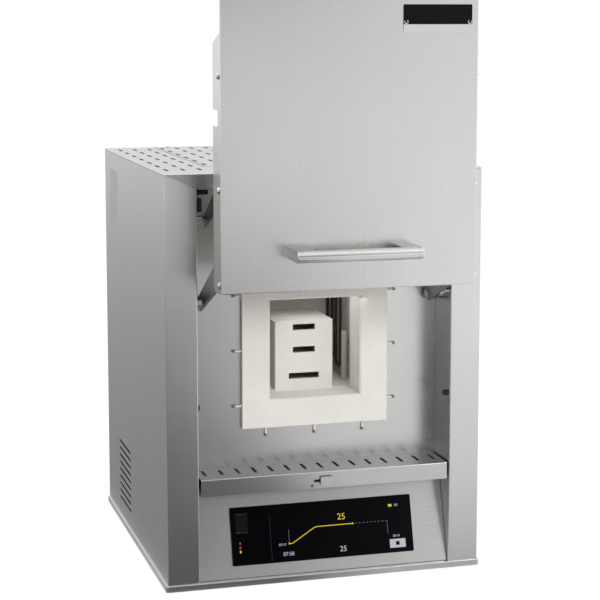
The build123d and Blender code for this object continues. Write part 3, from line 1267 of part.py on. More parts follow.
NODES = {
    "base_plate": base_plate(),
    "feet": feet(),
    "left_side_panel": [LEFT_SIDE],
    "right_side_panel": [mirror(LEFT_SIDE, about=Plane.YZ)],
    "front_plate": front_plate(),
    "top_cover": top_cover(),
    "top_lid": top_lid(),
    "rear_panel": rear_panel(),
    "shelf": shelf(),
    "air_slider": air_slider(),
    "control_panel": control_panel(),
    "display_glass": display_glass(),
    "display_module": display_module(),
    "controller_board": controller_board(),
    "usb_flap": usb_flap(),
    "muffle_collar": muffle_collar(),
    "chamber_floor": chamber_floor(),
    "chamber_sides": chamber_sides(),
    "chamber_rear": chamber_rear(),
    "chamber_roof": chamber_roof(),
    "backup_insulation": backup_insulation(),
    "inner_casing": inner_casing(),
    "mid_deck": mid_deck(),
    "heating_elements_left": heating_elements(-1),
    "heating_elements_right": heating_elements(1),
    "element_holders": element_holders(),
    "element_straps": element_straps(),
    "element_guards": element_guards(),
    "thermocouple": thermocouple(),
    "saggar_bottom": saggar(0),
    "saggar_middle": saggar(1),
    "saggar_top": saggar(2),
    "saggar_lid": saggar_lid(),
    "anchor_pins": anchor_pins(),
    "anchor_tips": anchor_tips(),
    "door_panel": door_panel(),
    "door_pan": door_pan(),
    "door_plug": door_plug(),
    "handle_bar": handle_bar(),
    "handle_brackets": handle_brackets(),
    "nameplate": nameplate(),
    "door_screws": door_screws(),
    "door_pins": door_pins(),
    "lower_levers": lower_levers(),
    "upper_levers": upper_levers(),
    "pivot_pins": pivot_pins(),
    "spring_studs": spring_studs(),
    "torsion_springs": torsion_springs(),
    "door_buffers": door_buffers(),
    "door_sensor": door_sensor(),
    "transformer": transformer(),
    "power_controller": power_controller(),
    "contactor": contactor(),
    "fan_frame": fan_frame(),
    "fan_rotor": fan_rotor(),
    "fan_guard": fan_guard(),
    "power_inlet": power_inlet(),
    "mains_rocker": mains_rocker(),
    "exhaust_stub": exhaust_stub(),
    "casing_screws": casing_screws(),
}

os.makedirs("parts", exist_ok=True)
for name, solids in NODES.items():
    placed = [Pos(0, -ORIGIN_Y, 0) * solid for solid in solids]
    export_step(Compound(children=placed) if len(placed) > 1 else placed[0], f"parts/{name}.step")

print("door swing", round(SWING, 3), "degrees, lever length", round(hypot(LEVER_Y, LEVER_Z), 2))
print("origin is", round(ORIGIN_Y, 3), "behind the front plane")
print("spring's least gap to itself", round(spring_gap(), 2))
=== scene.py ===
import math

import bpy
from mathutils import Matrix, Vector


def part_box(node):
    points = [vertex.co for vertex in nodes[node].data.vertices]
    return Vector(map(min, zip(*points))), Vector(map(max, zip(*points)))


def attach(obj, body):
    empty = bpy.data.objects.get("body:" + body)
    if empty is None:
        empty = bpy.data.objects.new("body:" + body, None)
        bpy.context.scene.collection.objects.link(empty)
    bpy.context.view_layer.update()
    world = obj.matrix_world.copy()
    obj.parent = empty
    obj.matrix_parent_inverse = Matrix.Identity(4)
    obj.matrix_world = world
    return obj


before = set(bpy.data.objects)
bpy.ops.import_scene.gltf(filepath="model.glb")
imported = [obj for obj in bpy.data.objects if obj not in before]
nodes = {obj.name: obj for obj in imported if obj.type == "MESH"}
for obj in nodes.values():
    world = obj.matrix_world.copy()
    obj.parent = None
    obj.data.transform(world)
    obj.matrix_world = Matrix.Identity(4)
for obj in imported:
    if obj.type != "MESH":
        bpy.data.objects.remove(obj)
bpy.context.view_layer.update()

# Brushed grain gives fine streaks along one way of the sheet and a broad, faint cloud,
# both as values from 0 to 1.
grain = bpy.data.node_groups.new("brushed_grain", "ShaderNodeTree")
grain.interface.new_socket("Scale", in_out="INPUT", socket_type="NodeSocketVector")
grain.interface.new_socket("Streaks", in_out="OUTPUT", socket_type="NodeSocketFloat")
grain.interface.new_socket("Cloud", in_out="OUTPUT", socket_type="NodeSocketFloat")
inside = grain.nodes.new("NodeGroupInput")
outside = grain.nodes.new("NodeGroupOutput")
place = grain.nodes.new("ShaderNodeTexCoord")
stretch = grain.nodes.new("ShaderNodeVectorMath")
stretch.operation = "MULTIPLY"
streak = grain.nodes.new("ShaderNodeTexNoise")
streak.inputs["Scale"].default_value = 1.0
streak.inputs["Detail"].default_value = 3.0
cloud = grain.nodes.new("ShaderNodeTexNoise")
cloud.inputs["Scale"].default_value = 7.0
cloud.inputs["Detail"].default_value = 2.0
grain.links.new(place.outputs["Object"], stretch.inputs[0])
grain.links.new(inside.outputs["Scale"], stretch.inputs[1])
grain.links.new(stretch.outputs["Vector"], streak.inputs["Vector"])
grain.links.new(place.outputs["Object"], cloud.inputs["Vector"])
grain.links.new(streak.outputs["Fac"], outside.inputs["Streaks"])
grain.links.new(cloud.outputs["Fac"], outside.inputs["Cloud"])

# Fold highlight gives 1 on the bent corners of a sheet and 0 on its flats. Steel paints a highlight
# there: its colour turns lighter there, standing in for the light that the bends catch.
fold = bpy.data.node_groups.new("fold_painted_highlight", "ShaderNodeTree")
fold.interface.new_socket("Mask", in_out="OUTPUT", socket_type="NodeSocketFloat")
outside = fold.nodes.new("NodeGroupOutput")
surface = fold.nodes.new("ShaderNodeNewGeometry")
unsigned = fold.nodes.new("ShaderNodeVectorMath")
unsigned.operation = "ABSOLUTE"
parts = fold.nodes.new("ShaderNodeSeparateXYZ")
larger = fold.nodes.new("ShaderNodeMath")
larger.operation = "MAXIMUM"
largest = fold.nodes.new("ShaderNodeMath")
largest.operation = "MAXIMUM"
bent = fold.nodes.new("ShaderNodeMapRange")
bent.inputs["From Min"].default_value = 0.955
bent.inputs["From Max"].default_value = 0.85
fold.links.new(surface.outputs["True Normal"], unsigned.inputs[0])
fold.links.new(unsigned.outputs["Vector"], parts.inputs["Vector"])
fold.links.new(parts.outputs["X"], larger.inputs[0])
fold.links.new(parts.outputs["Y"], larger.inputs[1])
fold.links.new(larger.outputs["Value"], largest.inputs[0])
fold.links.new(parts.outputs["Z"], largest.inputs[1])
fold.links.new(largest.outputs["Value"], bent.inputs["Value"])
fold.links.new(bent.outputs["Result"], outside.inputs["Mask"])


def steel(name, scale, dark, light, roughness, fold_highlight):
    """Brushed steel whose streaks run along the way of the smallest scale."""
    material = bpy.data.materials.new(name)
    material.use_nodes = True
    tree = material.node_tree
    shader = tree.nodes["Principled BSDF"]
    shader.inputs["Metallic"].default_value = 1.0
    brushed = tree.nodes.new("ShaderNodeGroup")
    brushed.node_tree = grain
    brushed.inputs["Scale"].default_value = scale
    colour = tree.nodes.new("ShaderNodeMix")
    colour.data_type = "RGBA"
    colour.inputs[6].default_value = (dark, dark, dark * 0.985, 1)
    colour.inputs[7].default_value = (light, light, light * 0.985, 1)
    tree.links.new(brushed.outputs["Streaks"], colour.inputs[0])
    # Painted highlight: on the bent faces the colour is mixed towards pale grey, as strongly as the last
    # argument asks.
    folds = tree.nodes.new("ShaderNodeGroup")
    folds.node_tree = fold
    painted_highlight = tree.nodes.new("ShaderNodeMath")
    painted_highlight.operation = "MULTIPLY"
    painted_highlight.inputs[1].default_value = fold_highlight
    tree.links.new(folds.outputs["Mask"], painted_highlight.inputs[0])
    highlighted = tree.nodes.new("ShaderNodeMix")
    highlighted.data_type = "RGBA"
    highlighted.inputs[7].default_value = (0.92, 0.92, 0.91, 1)
    tree.links.new(painted_highlight.outputs["Value"], highlighted.inputs[0])
    tree.links.new(colour.outputs[2], highlighted.inputs[6])
    tree.links.new(highlighted.outputs[2], shader.inputs["Base Color"])
    rough = tree.nodes.new("ShaderNodeMapRange")
    rough.inputs["To Min"].default_value = roughness * 0.85
    rough.inputs["To Max"].default_value = roughness * 1.15
    tree.links.new(brushed.outputs["Cloud"], rough.inputs["Value"])
    tree.links.new(rough.outputs["Result"], shader.inputs["Roughness"])
    bump = tree.nodes.new("ShaderNodeBump")
    bump.inputs["Strength"].default_value = 0.12
    bump.inputs["Distance"].default_value = 0.0002
    tree.links.new(brushed.outputs["Streaks"], bump.inputs["Height"])
    tree.links.new(bump.outputs["Normal"], shader.inputs["Normal"])
    return material


def dress(material, *names):
    """Gives a material to CAD nodes."""
    for name in names:
        slots = nodes[name].data.materials
        slots.clear()
        slots.append(material)


tray_steel = steel("steel_base", (9, 900, 900), 0.58, 0.66, 0.32, 0.0)
dress(tray_steel, "base_plate")

# Feet: four moulded rubber feet, screwed on under the base tray. Their matt skin has
# the fine grain of the mould.

# Matted fibre gives a height from 0 to 1 for the bump of pressed fibre, cast ceramic,
# rubber or plastic, and a slow stain.
matted = bpy.data.node_groups.new("matted_fibre", "ShaderNodeTree")
matted.interface.new_socket("Scale", in_out="INPUT", socket_type="NodeSocketFloat")
matted.interface.new_socket("Height", in_out="OUTPUT", socket_type="NodeSocketFloat")
matted.interface.new_socket("Stain", in_out="OUTPUT", socket_type="NodeSocketFloat")
inside = matted.nodes.new("NodeGroupInput")
outside = matted.nodes.new("NodeGroupOutput")
place = matted.nodes.new("ShaderNodeTexCoord")
fine = matted.nodes.new("ShaderNodeTexNoise")
fine.inputs["Detail"].default_value = 6.0
fine.inputs["Roughness"].default_value = 0.7
slow = matted.nodes.new("ShaderNodeTexNoise")
slow.inputs["Scale"].default_value = 24.0
slow.inputs["Detail"].default_value = 3.0
matted.links.new(place.outputs["Object"], fine.inputs["Vector"])
matted.links.new(inside.outputs["Scale"], fine.inputs["Scale"])
matted.links.new(place.outputs["Object"], slow.inputs["Vector"])
matted.links.new(fine.outputs["Fac"], outside.inputs["Height"])
matted.links.new(slow.outputs["Fac"], outside.inputs["Stain"])


def matt(name, dark, light, scale, roughness, depth, specular=0.3):
    """A matt or satin stuff with a stain between two colours and a fine bump."""
    material = bpy.data.materials.new(name)
    material.use_nodes = True
    tree = material.node_tree
    shader = tree.nodes["Principled BSDF"]
    shader.inputs["Roughness"].default_value = roughness
    shader.inputs["Specular IOR Level"].default_value = specular
    body = tree.nodes.new("ShaderNodeGroup")
    body.node_tree = matted
    body.inputs["Scale"].default_value = scale
    colour = tree.nodes.new("ShaderNodeMix")
    colour.data_type = "RGBA"
    colour.inputs[6].default_value = dark + (1,)
    colour.inputs[7].default_value = light + (1,)
    tree.links.new(body.outputs["Stain"], colour.inputs[0])
    tree.links.new(colour.outputs[2], shader.inputs["Base Color"])
    bump = tree.nodes.new("ShaderNodeBump")
    bump.inputs["Strength"].default_value = 0.5
    bump.inputs["Distance"].default_value = depth
    tree.links.new(body.outputs["Height"], bump.inputs["Height"])
    tree.links.new(bump.outputs["Normal"], shader.inputs["Normal"])
    return material


rubber = matt("rubber", (0.018, 0.018, 0.018), (0.035, 0.035, 0.034), 1500.0, 0.8, 0.0002)
dress(rubber, "feet")

# Casing walls: two folded side sheets with their front posts, the back wall of the
# door recess and the rear sheet. All are stainless steel with upright grain.
upright = steel("steel_upright", (900, 900, 9), 0.64, 0.70, 0.28, 0.55)
dress(upright, "left_side_panel", "right_side_panel", "front_plate", "rear_panel")

# Side label: a blank pale sticker near the back of the left side, with round corners.
# It is cut from sheet, so its corners are rounded first and it is thickened after.
label_height = 0.072
label_length = 0.05
label_corner = 0.004
label_thickness = 0.0003
label_sunk = 0.0001
behind_front = 0.335
below_roof = 0.058
low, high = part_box("left_side_panel")
bpy.ops.mesh.primitive_plane_add(
    size=1, location=(low.x + label_sunk, low.y + behind_front, high.z - below_roof),
    rotation=(0, math.radians(-90), 0))
label = bpy.context.object
label.name = "side_label"
label.scale = (label_height, label_length, 1)
bpy.ops.object.transform_apply(location=True, rotation=True, scale=True)
bpy.ops.object.mode_set(mode="EDIT")
bpy.ops.mesh.select_all(action="SELECT")
bpy.ops.mesh.bevel(offset=label_corner, segments=6, affect="VERTICES")
bpy.ops.object.mode_set(mode="OBJECT")
sheet = label.modifiers.new("sheet", "SOLIDIFY")
sheet.thickness = label_thickness
sheet.offset = 1
bpy.ops.object.modifier_apply(modifier="sheet")
paper = matt("label_paper", (0.58, 0.58, 0.57), (0.66, 0.66, 0.65), 900.0, 0.5, 0.00005)
label.data.materials.append(paper)
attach(label, "casing")

# Roof: the cover folds down over the walls, and a raised lid lies on it. Both have rows
# of stamped slots and grain that runs to the back. The flue stub is of the same steel.
roof_steel = steel("steel_roof", (900, 9, 900), 0.52, 0.58, 0.32, 0.55)
dress(roof_steel, "top_cover", "top_lid", "exhaust_stub")

# Casing screws: small turned pan heads that hold the rear sheet.
# The turned steel has no lay of its own, only a fine mottle.
turned = steel("steel_turned", (500, 500, 500), 0.50, 0.60, 0.3, 0.3)
dress(turned, "casing_screws")

# Inner sheets: the box round the insulation and the deck that carries it, of
# zinc-coated steel with the flat crystals of the coat.
zinc = bpy.data.materials.new("zinc_coat")
zinc.use_nodes = True
tree = zinc.node_tree
shader = tree.nodes["Principled BSDF"]
shader.inputs["Metallic"].default_value = 1.0
shader.inputs["Roughness"].default_value = 0.42
place = tree.nodes.new("ShaderNodeTexCoord")
crystal = tree.nodes.new("ShaderNodeTexVoronoi")
crystal.inputs["Scale"].default_value = 90.0
level = tree.nodes.new("ShaderNodeMapRange")
level.inputs["To Min"].default_value = 0.5
level.inputs["To Max"].default_value = 0.68
tree.links.new(place.outputs["Object"], crystal.inputs["Vector"])
tree.links.new(crystal.outputs["Color"], level.inputs["Value"])
tree.links.new(level.outputs["Result"], shader.inputs["Base Color"])
dress(zinc, "inner_casing", "mid_deck")

# Muffle: boards of pressed ceramic wool round the chamber, packed in a coarser wool. The chamber's own
# boards take a lighter copy of the fibre's colour, painted light that lifts the shade inside the
# chamber.
wool = matt("fibre_backup", (0.60, 0.59, 0.565), (0.74, 0.73, 0.71), 300.0, 0.95, 0.001, 0.1)
dress(wool, "backup_insulation")
chamber_fibre_painted_light = matt("fibre_chamber_painted_light", (0.82, 0.785, 0.725), (0.93, 0.905, 0.855), 420.0, 0.95, 0.0006, 0.1)
dress(chamber_fibre_painted_light, "chamber_floor", "chamber_sides", "chamber_rear", "chamber_roof")

# Collar: one thick frame of pressed fibre round the mouth, held by ceramic pins that
# stick out of its edges, each with a wire end.
fibre = matt("fibre_pressed", (0.66, 0.63, 0.585), (0.80, 0.775, 0.735), 420.0, 0.95, 0.0006, 0.1)
dress(fibre, "muffle_collar")
white = matt("white_ceramic", (0.66, 0.645, 0.60), (0.78, 0.76, 0.71), 1200.0, 0.45, 0.0001, 0.4)
dress(white, "anchor_pins")
wire = matt("dark_wire", (0.16, 0.15, 0.135), (0.27, 0.25, 0.225), 900.0, 0.5, 0.0002)
dress(wire, "anchor_tips")

# Heating: dark hairpins that hang through the roof in white ceramic holders, joined
# above by aluminium braid. White posts guard them, and a sheathed sensor comes in from
# the back.
silicide = matt("silicide", (0.022, 0.02, 0.02), (0.05, 0.042, 0.038), 900.0, 0.4, 0.0002, 0.4)
dress(silicide, "heating_elements_left", "heating_elements_right")
dress(white, "element_holders", "element_guards", "thermocouple")
braid = steel("aluminium_braid", (1400, 1400, 1400), 0.55, 0.85, 0.4, 0.0)
dress(braid, "element_straps")

# Sintering trays: three cast ceramic trays with vents in front and a lid, stacked loose
# on the chamber's floor.
tray = matt("tray_ceramic", (0.70, 0.675, 0.635), (0.79, 0.765, 0.73), 900.0, 0.7, 0.0002, 0.25)
dress(tray, "saggar_bottom", "saggar_middle", "saggar_top", "saggar_lid")

# Air shelf: a slotted steel shelf under the mouth, with grain across. The slider under it is painted
# dark for the shade there, except for the bright tab in front of the lip.
across = steel("steel_across", (9, 900, 900), 0.54, 0.64, 0.245, 0.6)
dress(across, "shelf")


def colour_front(material, y, colour):
    """Gives a colour of its own to what lies in front of y."""
    tree = material.node_tree
    place = tree.nodes.new("ShaderNodeTexCoord")
    parts = tree.nodes.new("ShaderNodeSeparateXYZ")
    ahead = tree.nodes.new("ShaderNodeMath")
    ahead.operation = "LESS_THAN"
    ahead.inputs[1].default_value = y
    chosen = tree.nodes.new("ShaderNodeMix")
    chosen.data_type = "RGBA"
    chosen.inputs[7].default_value = colour + (1,)
    base = tree.nodes["Principled BSDF"].inputs["Base Color"]
    tree.links.new(place.outputs["Object"], parts.inputs["Vector"])
    tree.links.new(parts.outputs["Y"], ahead.inputs[0])
    tree.links.new(ahead.outputs["Value"], chosen.inputs[0])
    tree.links.new(base.links[0].from_socket, chosen.inputs[6])
    tree.links.new(chosen.outputs[2], base)


# Painted shade: the slider is near black for the shade under the shelf; only the tab in front of the lip
# keeps a pale steel colour.
unshaded_tab_depth = 0.0015
slider_painted_shade = steel("steel_slider", (9, 900, 900), 0.04, 0.07, 0.55, 0.3)
colour_front(slider_painted_shade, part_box("shelf")[0].y + unshaded_tab_depth, (0.72, 0.72, 0.71))
dress(slider_painted_shade, "air_slider")

# Control panel: a sloped sheet with the display's window. A moulded housing and a
# green board sit behind it, and a small gloss flap covers the data socket.
dress(across, "control_panel")
plastic = matt("black_plastic", (0.014, 0.014, 0.015), (0.024, 0.024, 0.025), 2500.0, 0.5, 0.0001)
dress(plastic, "display_module")
board = matt("board_green", (0.012, 0.09, 0.035), (0.025, 0.15, 0.06), 600.0, 0.4, 0.0001)
dress(board, "controller_board")
glossy = matt("black_gloss", (0.004, 0.004, 0.005), (0.007, 0.007, 0.008), 400.0, 0.18, 0.00002, 0.12)
dress(glossy, "usb_flap")

# Display glass: black, with the softest gloss, as its face hardly mirrors the room.
# It is glued into the window of the sloped panel.
black_glass = matt("display_black", (0.0012, 0.0012, 0.002), (0.002, 0.002, 0.003), 60.0, 0.1, 0.0, 0.06)
dress(black_glass, "display_glass")

# Display picture: a heating curve with plain numbers and marks. Each lit part is a thin
# piece that lies on the glass, placed in millimetres on its slope.
low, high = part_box("display_glass")
centre = (low + high) / 2
glass_tilt = math.radians(74.53)
glass_datum = 57.9
bar_thickness = 0.0002
bar_edge = 0.00007
button_x = 93
button_s = 81.3
stop_side = 0.0045
stop_thickness = 0.0003
curve_radius = 0.0005
dot_radius = 0.0011
number_thickness = 0.00012
outward = (0.0, -math.sin(glass_tilt), math.cos(glass_tilt))
upslope = (0.0, math.cos(glass_tilt), math.sin(glass_tilt))
reach = max(v.co.y * outward[1] + v.co.z * outward[2] for v in nodes["display_glass"].data.vertices)
lift = reach - centre.y * outward[1] - centre.z * outward[2]


def screen_place(x, s):
    """The point on the glass at x and at s below its datum, both in mm."""
    up = (glass_datum - s) / 1000
    return (
        x / 1000,
        centre.y + up * upslope[1] + lift * outward[1],
        centre.z + up * upslope[2] + lift * outward[2])


def lamp_colour(name, colour, strength):
    """A lit part of the display, with the faint grain of its dots."""
    material = bpy.data.materials.new(name)
    material.use_nodes = True
    tree = material.node_tree
    shader = tree.nodes["Principled BSDF"]
    shader.inputs["Base Color"].default_value = (0.01, 0.01, 0.01, 1)
    shader.inputs["Roughness"].default_value = 0.4
    shader.inputs["Specular IOR Level"].default_value = 0.1
    shader.inputs["Emission Strength"].default_value = strength
    place = tree.nodes.new("ShaderNodeTexCoord")
    dots = tree.nodes.new("ShaderNodeTexNoise")
    dots.inputs["Scale"].default_value = 3000.0
    tone = tree.nodes.new("ShaderNodeMix")
    tone.data_type = "RGBA"
    tone.inputs[6].default_value = tuple(0.85 * c for c in colour) + (1,)
    tone.inputs[7].default_value = colour + (1,)
    tree.links.new(place.outputs["Object"], dots.inputs["Vector"])
    tree.links.new(dots.outputs["Fac"], tone.inputs[0])
    tree.links.new(tone.outputs[2], shader.inputs["Emission Color"])
    return material


def screen_piece(piece, name, material):
    """Names a piece of the picture and lets it ride on the casing."""
    piece.name = name
    bpy.ops.object.transform_apply(location=True, rotation=True, scale=True)
    piece.data.materials.clear()
    piece.data.materials.append(material)
    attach(piece, "casing")


yellow = lamp_colour("lit_yellow", (0.85, 0.62, 0.03), 0.9)
cold = lamp_colour("lit_white", (0.62, 0.66, 0.72), 0.8)
dim = lamp_colour("lit_grey", (0.20, 0.23, 0.27), 0.8)
faint = lamp_colour("lit_faint", (0.035, 0.04, 0.05), 0.8)
red = lamp_colour("lit_red", (0.75, 0.05, 0.03), 0.8)

bars = [
    ("screen_divider", -65, 62, 0.3, 56, faint),
    ("screen_start_line", -42.5, 62, 0.4, 15, dim),
    ("screen_end_line", 81.5, 61, 0.4, 17, dim),
    ("screen_button", button_x, button_s, 20, 10.4, cold),
    ("screen_box_yellow", 86.5, 35.5, 4.5, 3.0, yellow),
    ("screen_box_grey", 94, 35.5, 4.5, 3.0, dim),
    ("screen_mark_grey", -102.7, 66.1, 1.6, 2.2, dim),
    ("screen_mark_red", -102.7, 70.9, 1.8, 2.6, red),
    ("screen_mark_yellow", -102.7, 75.9, 1.8, 3.0, yellow),
]
bars += [("screen_dash_%d" % (i + 1), 42 + 4.8 * i, 53.4, 2.4, 0.5, dim) for i in range(9)]
for name, x, s, width, height, material in bars:
    bpy.ops.mesh.primitive_cube_add(
        size=1, location=screen_place(x, s), rotation=(glass_tilt, 0, 0),
        scale=(width / 1000, height / 1000, bar_thickness))
    screen_piece(bpy.context.object, name, material)
    edge = bpy.context.object.modifiers.new("edge", "BEVEL")
    edge.width = bar_edge
    edge.segments = 2
    bpy.ops.object.modifier_apply(modifier="edge")
bpy.ops.mesh.primitive_cube_add(
    size=1, location=screen_place(button_x, button_s), rotation=(glass_tilt, 0, 0),
    scale=(stop_side, stop_side, stop_thickness))
screen_piece(bpy.context.object, "screen_button_stop", black_glass)

points = [
    (-42.5, 70.9), (-40.5, 71), (-39, 71), (-37, 70),
    (-12, 55.2), (-9.5, 54), (-6, 53.6), (14, 53.5), (38, 53.4)]
bpy.ops.curve.primitive_nurbs_path_add(location=(0, 0, 0))
curve = bpy.context.object
spline = curve.data.splines[0]
spline.points.add(len(points) - len(spline.points))
for point, (x, s) in zip(spline.points, points):
    point.co = screen_place(x, s) + (1,)
spline.order_u = 3
spline.use_endpoint_u = True
curve.data.bevel_depth = curve_radius
bpy.ops.object.convert(target="MESH")
screen_piece(bpy.context.object, "screen_curve", yellow)
for name, (x, s) in (("screen_dot_start", points[0]), ("screen_dot_end", points[-1])):
    bpy.ops.mesh.primitive_uv_sphere_add(
        segments=16, ring_count=8, radius=dot_radius, location=screen_place(x, s),
        rotation=(glass_tilt, 0, 0), scale=(1, 1, 0.5))
    screen_piece(bpy.context.object, name, yellow)

words = [
    ("screen_number_main", "25", 24, 47.5, 10.5, yellow),
    ("screen_number_set", "25", 24, 85.3, 9.0, cold),
    ("screen_number_time", "07:58", -44, 85.0, 6.2, cold),
    ("screen_number_start", "07:17", -51, 73.0, 4.0, cold),
    ("screen_number_end", "08:16", 92, 73.5, 4.0, cold),
]
for name, text, x, s, size, material in words:
    bpy.ops.object.text_add(location=screen_place(x, s), rotation=(glass_tilt, 0, 0))
    number = bpy.context.object
    number.data.body = text
    number.data.align_x = "CENTER"
    number.data.size = size / 1000
    number.data.extrude = number_thickness
    bpy.ops.object.convert(target="MESH")
    screen_piece(bpy.context.object, name, material)

# Door: a folded stainless skin with upright grain, an inner pan of coated sheet, and a
# stepped plug of pressed fibre that fills the collar's mouth.
dress(upright, "door_panel")
dress(zinc, "door_pan")
dress(fibre, "door_plug")

# Handle: a turned grip between two milled end brackets, polished along its length.
# The brackets are bolted to the skin from behind.
grip = steel("steel_handle", (6, 700, 700), 0.66, 0.76, 0.2, 0.0)
dress(grip, "handle_bar", "handle_brackets")

# Door screws: bright button heads with a small round socket on both edges of the skin,
# over the plain heads of the CAD node. Two solids of that node are pins in the
# nameplate, and they are black.
screws = steel("steel_door_screws", (500, 500, 500), 0.72, 0.82, 0.3, 0.0)
low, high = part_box("door_panel")
colour_front(screws, low.y, (0.01, 0.01, 0.01))
dress(screws, "door_screws")
bright = steel("steel_screw", (500, 500, 500), 0.72, 0.82, 0.22, 0.0)
rim_vertices = 36
head_radius = 0.0038
head_depth = 0.0026
head_stand = 0.0012
head_dome = 0.0017
flat_from = 0.002
socket_wall = 0.0008
socket_depth = 0.0012
behind_skin = 0.007
head_heights = (0.0095, 0.114, 0.239)


def pick_flat(head, side, x):
    """Selects the outer flat of a head, the one face there with all the rim's corners."""
    for face in head.data.polygons:
        outer = side * (face.center.x - x) > flat_from
        face.select = outer and len(face.vertices) == rim_vertices


for side, x in ((-1, low.x), (1, high.x)):
    for index, height in enumerate(head_heights):
        bpy.ops.mesh.primitive_cylinder_add(
            vertices=rim_vertices, radius=head_radius, depth=head_depth,
            location=(x + side * head_stand, low.y + behind_skin, low.z + height),
            rotation=(0, side * math.radians(90), 0))
        head = bpy.context.object
        head.name = "door_button_%s_%d" % ("left" if side < 0 else "right", index + 1)
        bpy.ops.object.transform_apply(location=True, rotation=True, scale=True)
        pick_flat(head, side, x)
        for edge in head.data.edges:
            edge.select = False
        bpy.ops.object.mode_set(mode="EDIT")
        bpy.ops.mesh.select_mode(type="FACE")
        bpy.ops.mesh.bevel(offset=head_dome, segments=6, profile=0.5)
        bpy.ops.object.mode_set(mode="OBJECT")
        pick_flat(head, side, x)
        bpy.ops.object.mode_set(mode="EDIT")
        bpy.ops.mesh.inset(thickness=socket_wall)
        bpy.ops.mesh.extrude_region_move(TRANSFORM_OT_translate={"value": (-side * socket_depth, 0, 0)})
        bpy.ops.object.mode_set(mode="OBJECT")
        bpy.ops.object.shade_smooth_by_angle(angle=math.radians(40))
        head.data.materials.append(bright)
        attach(head, "door")

# Nameplate: a blank enamelled plate on the door's skin, gloss black above a light strip
# along its lower edge.
strip_height = 0.009
low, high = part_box("nameplate")
plate = bpy.data.materials.new("plate_blank")
plate.use_nodes = True
tree = plate.node_tree
shader = tree.nodes["Principled BSDF"]
shader.inputs["Roughness"].default_value = 0.3
shader.inputs["Specular IOR Level"].default_value = 0.1
place = tree.nodes.new("ShaderNodeTexCoord")
parts = tree.nodes.new("ShaderNodeSeparateXYZ")
upper = tree.nodes.new("ShaderNodeMath")
upper.operation = "GREATER_THAN"
upper.inputs[1].default_value = low.z + strip_height
colour = tree.nodes.new("ShaderNodeMix")
colour.data_type = "RGBA"
colour.inputs[6].default_value = (0.46, 0.46, 0.45, 1)
colour.inputs[7].default_value = (0.003, 0.003, 0.003, 1)
tree.links.new(place.outputs["Object"], parts.inputs["Vector"])
tree.links.new(parts.outputs["Z"], upper.inputs[0])
tree.links.new(upper.outputs["Value"], colour.inputs[0])
tree.links.new(colour.outputs[2], shader.inputs["Base Color"])
dress(plate, "nameplate")

# Plate rivets: two small hollow brass rivets at the lower corners of the black part,
# with their rolled rims showing.
brass = steel("brass", (400, 400, 400), 0.5, 0.6, 0.25, 0.0)
rim_radius = 0.0018
rim_roll = 0.0008
rivet_inset = 0.003
rivet_height = 0.0115
rivet_proud = 0.0002
for index, x in enumerate((low.x + rivet_inset, high.x - rivet_inset)):
    bpy.ops.mesh.primitive_torus_add(
        major_radius=rim_radius, minor_radius=rim_roll, major_segments=32, minor_segments=12,
        location=(x, low.y - rivet_proud, low.z + rivet_height), rotation=(math.radians(90), 0, 0))
    rivet = bpy.context.object
    rivet.name = "plate_rivet_%d" % (index + 1)
    bpy.ops.object.transform_apply(location=True, rotation=True, scale=True)
    bpy.ops.object.shade_smooth()
    rivet.data.materials.append(brass)
    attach(rivet, "door")

# Door lift: pressed steel levers on turned pins, coiled springs that lie on studs, and
# beside them in the recess the rubber buffers and the black door switch.
pressed = steel("steel_pressed", (250, 250, 250), 0.40, 0.48, 0.35, 0.4)
dress(pressed, "lower_levers", "upper_levers")
dress(turned, "door_pins", "pivot_pins", "spring_studs")
drawn = steel("steel_drawn", (300, 300, 300), 0.28, 0.34, 0.35, 0.0)
dress(drawn, "torsion_springs")
dress(rubber, "door_buffers")
dress(plastic, "door_sensor")

# Power parts in the base: a varnished transformer, a controller in an aluminium heat
# sink, and a moulded contactor.
iron = matt("varnished_iron", (0.05, 0.05, 0.05), (0.10, 0.095, 0.09), 800.0, 0.45, 0.0003)
dress(iron, "transformer")
extruded = steel("aluminium_sink", (900, 9, 900), 0.60, 0.68, 0.35, 0.2)
dress(extruded, "power_controller")
grey = matt("grey_plastic", (0.19, 0.20, 0.21), (0.26, 0.27, 0.28), 2500.0, 0.55, 0.0001)
dress(grey, "contactor")

# Rear fittings: a moulded fan behind a chromed wire guard, and the mains inlet with
# its gloss black rocker.
dress(plastic, "fan_frame", "fan_rotor", "power_inlet")
chrome = steel("chrome_wire", (300, 300, 300), 0.68, 0.74, 0.12, 0.0)
dress(chrome, "fan_guard")
dress(glossy, "mains_rocker")

# Floor: plain and pale. The camera and mirrors see it near white, with the object's
# soft shadow in the share that the lamps light.


def seen_rays(tree):
    """1 for what the camera, mirrors and glass see, and 0 for the light that fills."""
    path = tree.nodes.new("ShaderNodeLightPath")
    either = tree.nodes.new("ShaderNodeMath")
    either.operation = "MAXIMUM"
    seen = tree.nodes.new("ShaderNodeMath")
    seen.operation = "MAXIMUM"
    tree.links.new(path.outputs["Is Camera Ray"], either.inputs[0])
    tree.links.new(path.outputs["Is Glossy Ray"], either.inputs[1])
    tree.links.new(either.outputs["Value"], seen.inputs[0])
    tree.links.new(path.outputs["Is Transmission Ray"], seen.inputs[1])
    return seen.outputs["Value"]


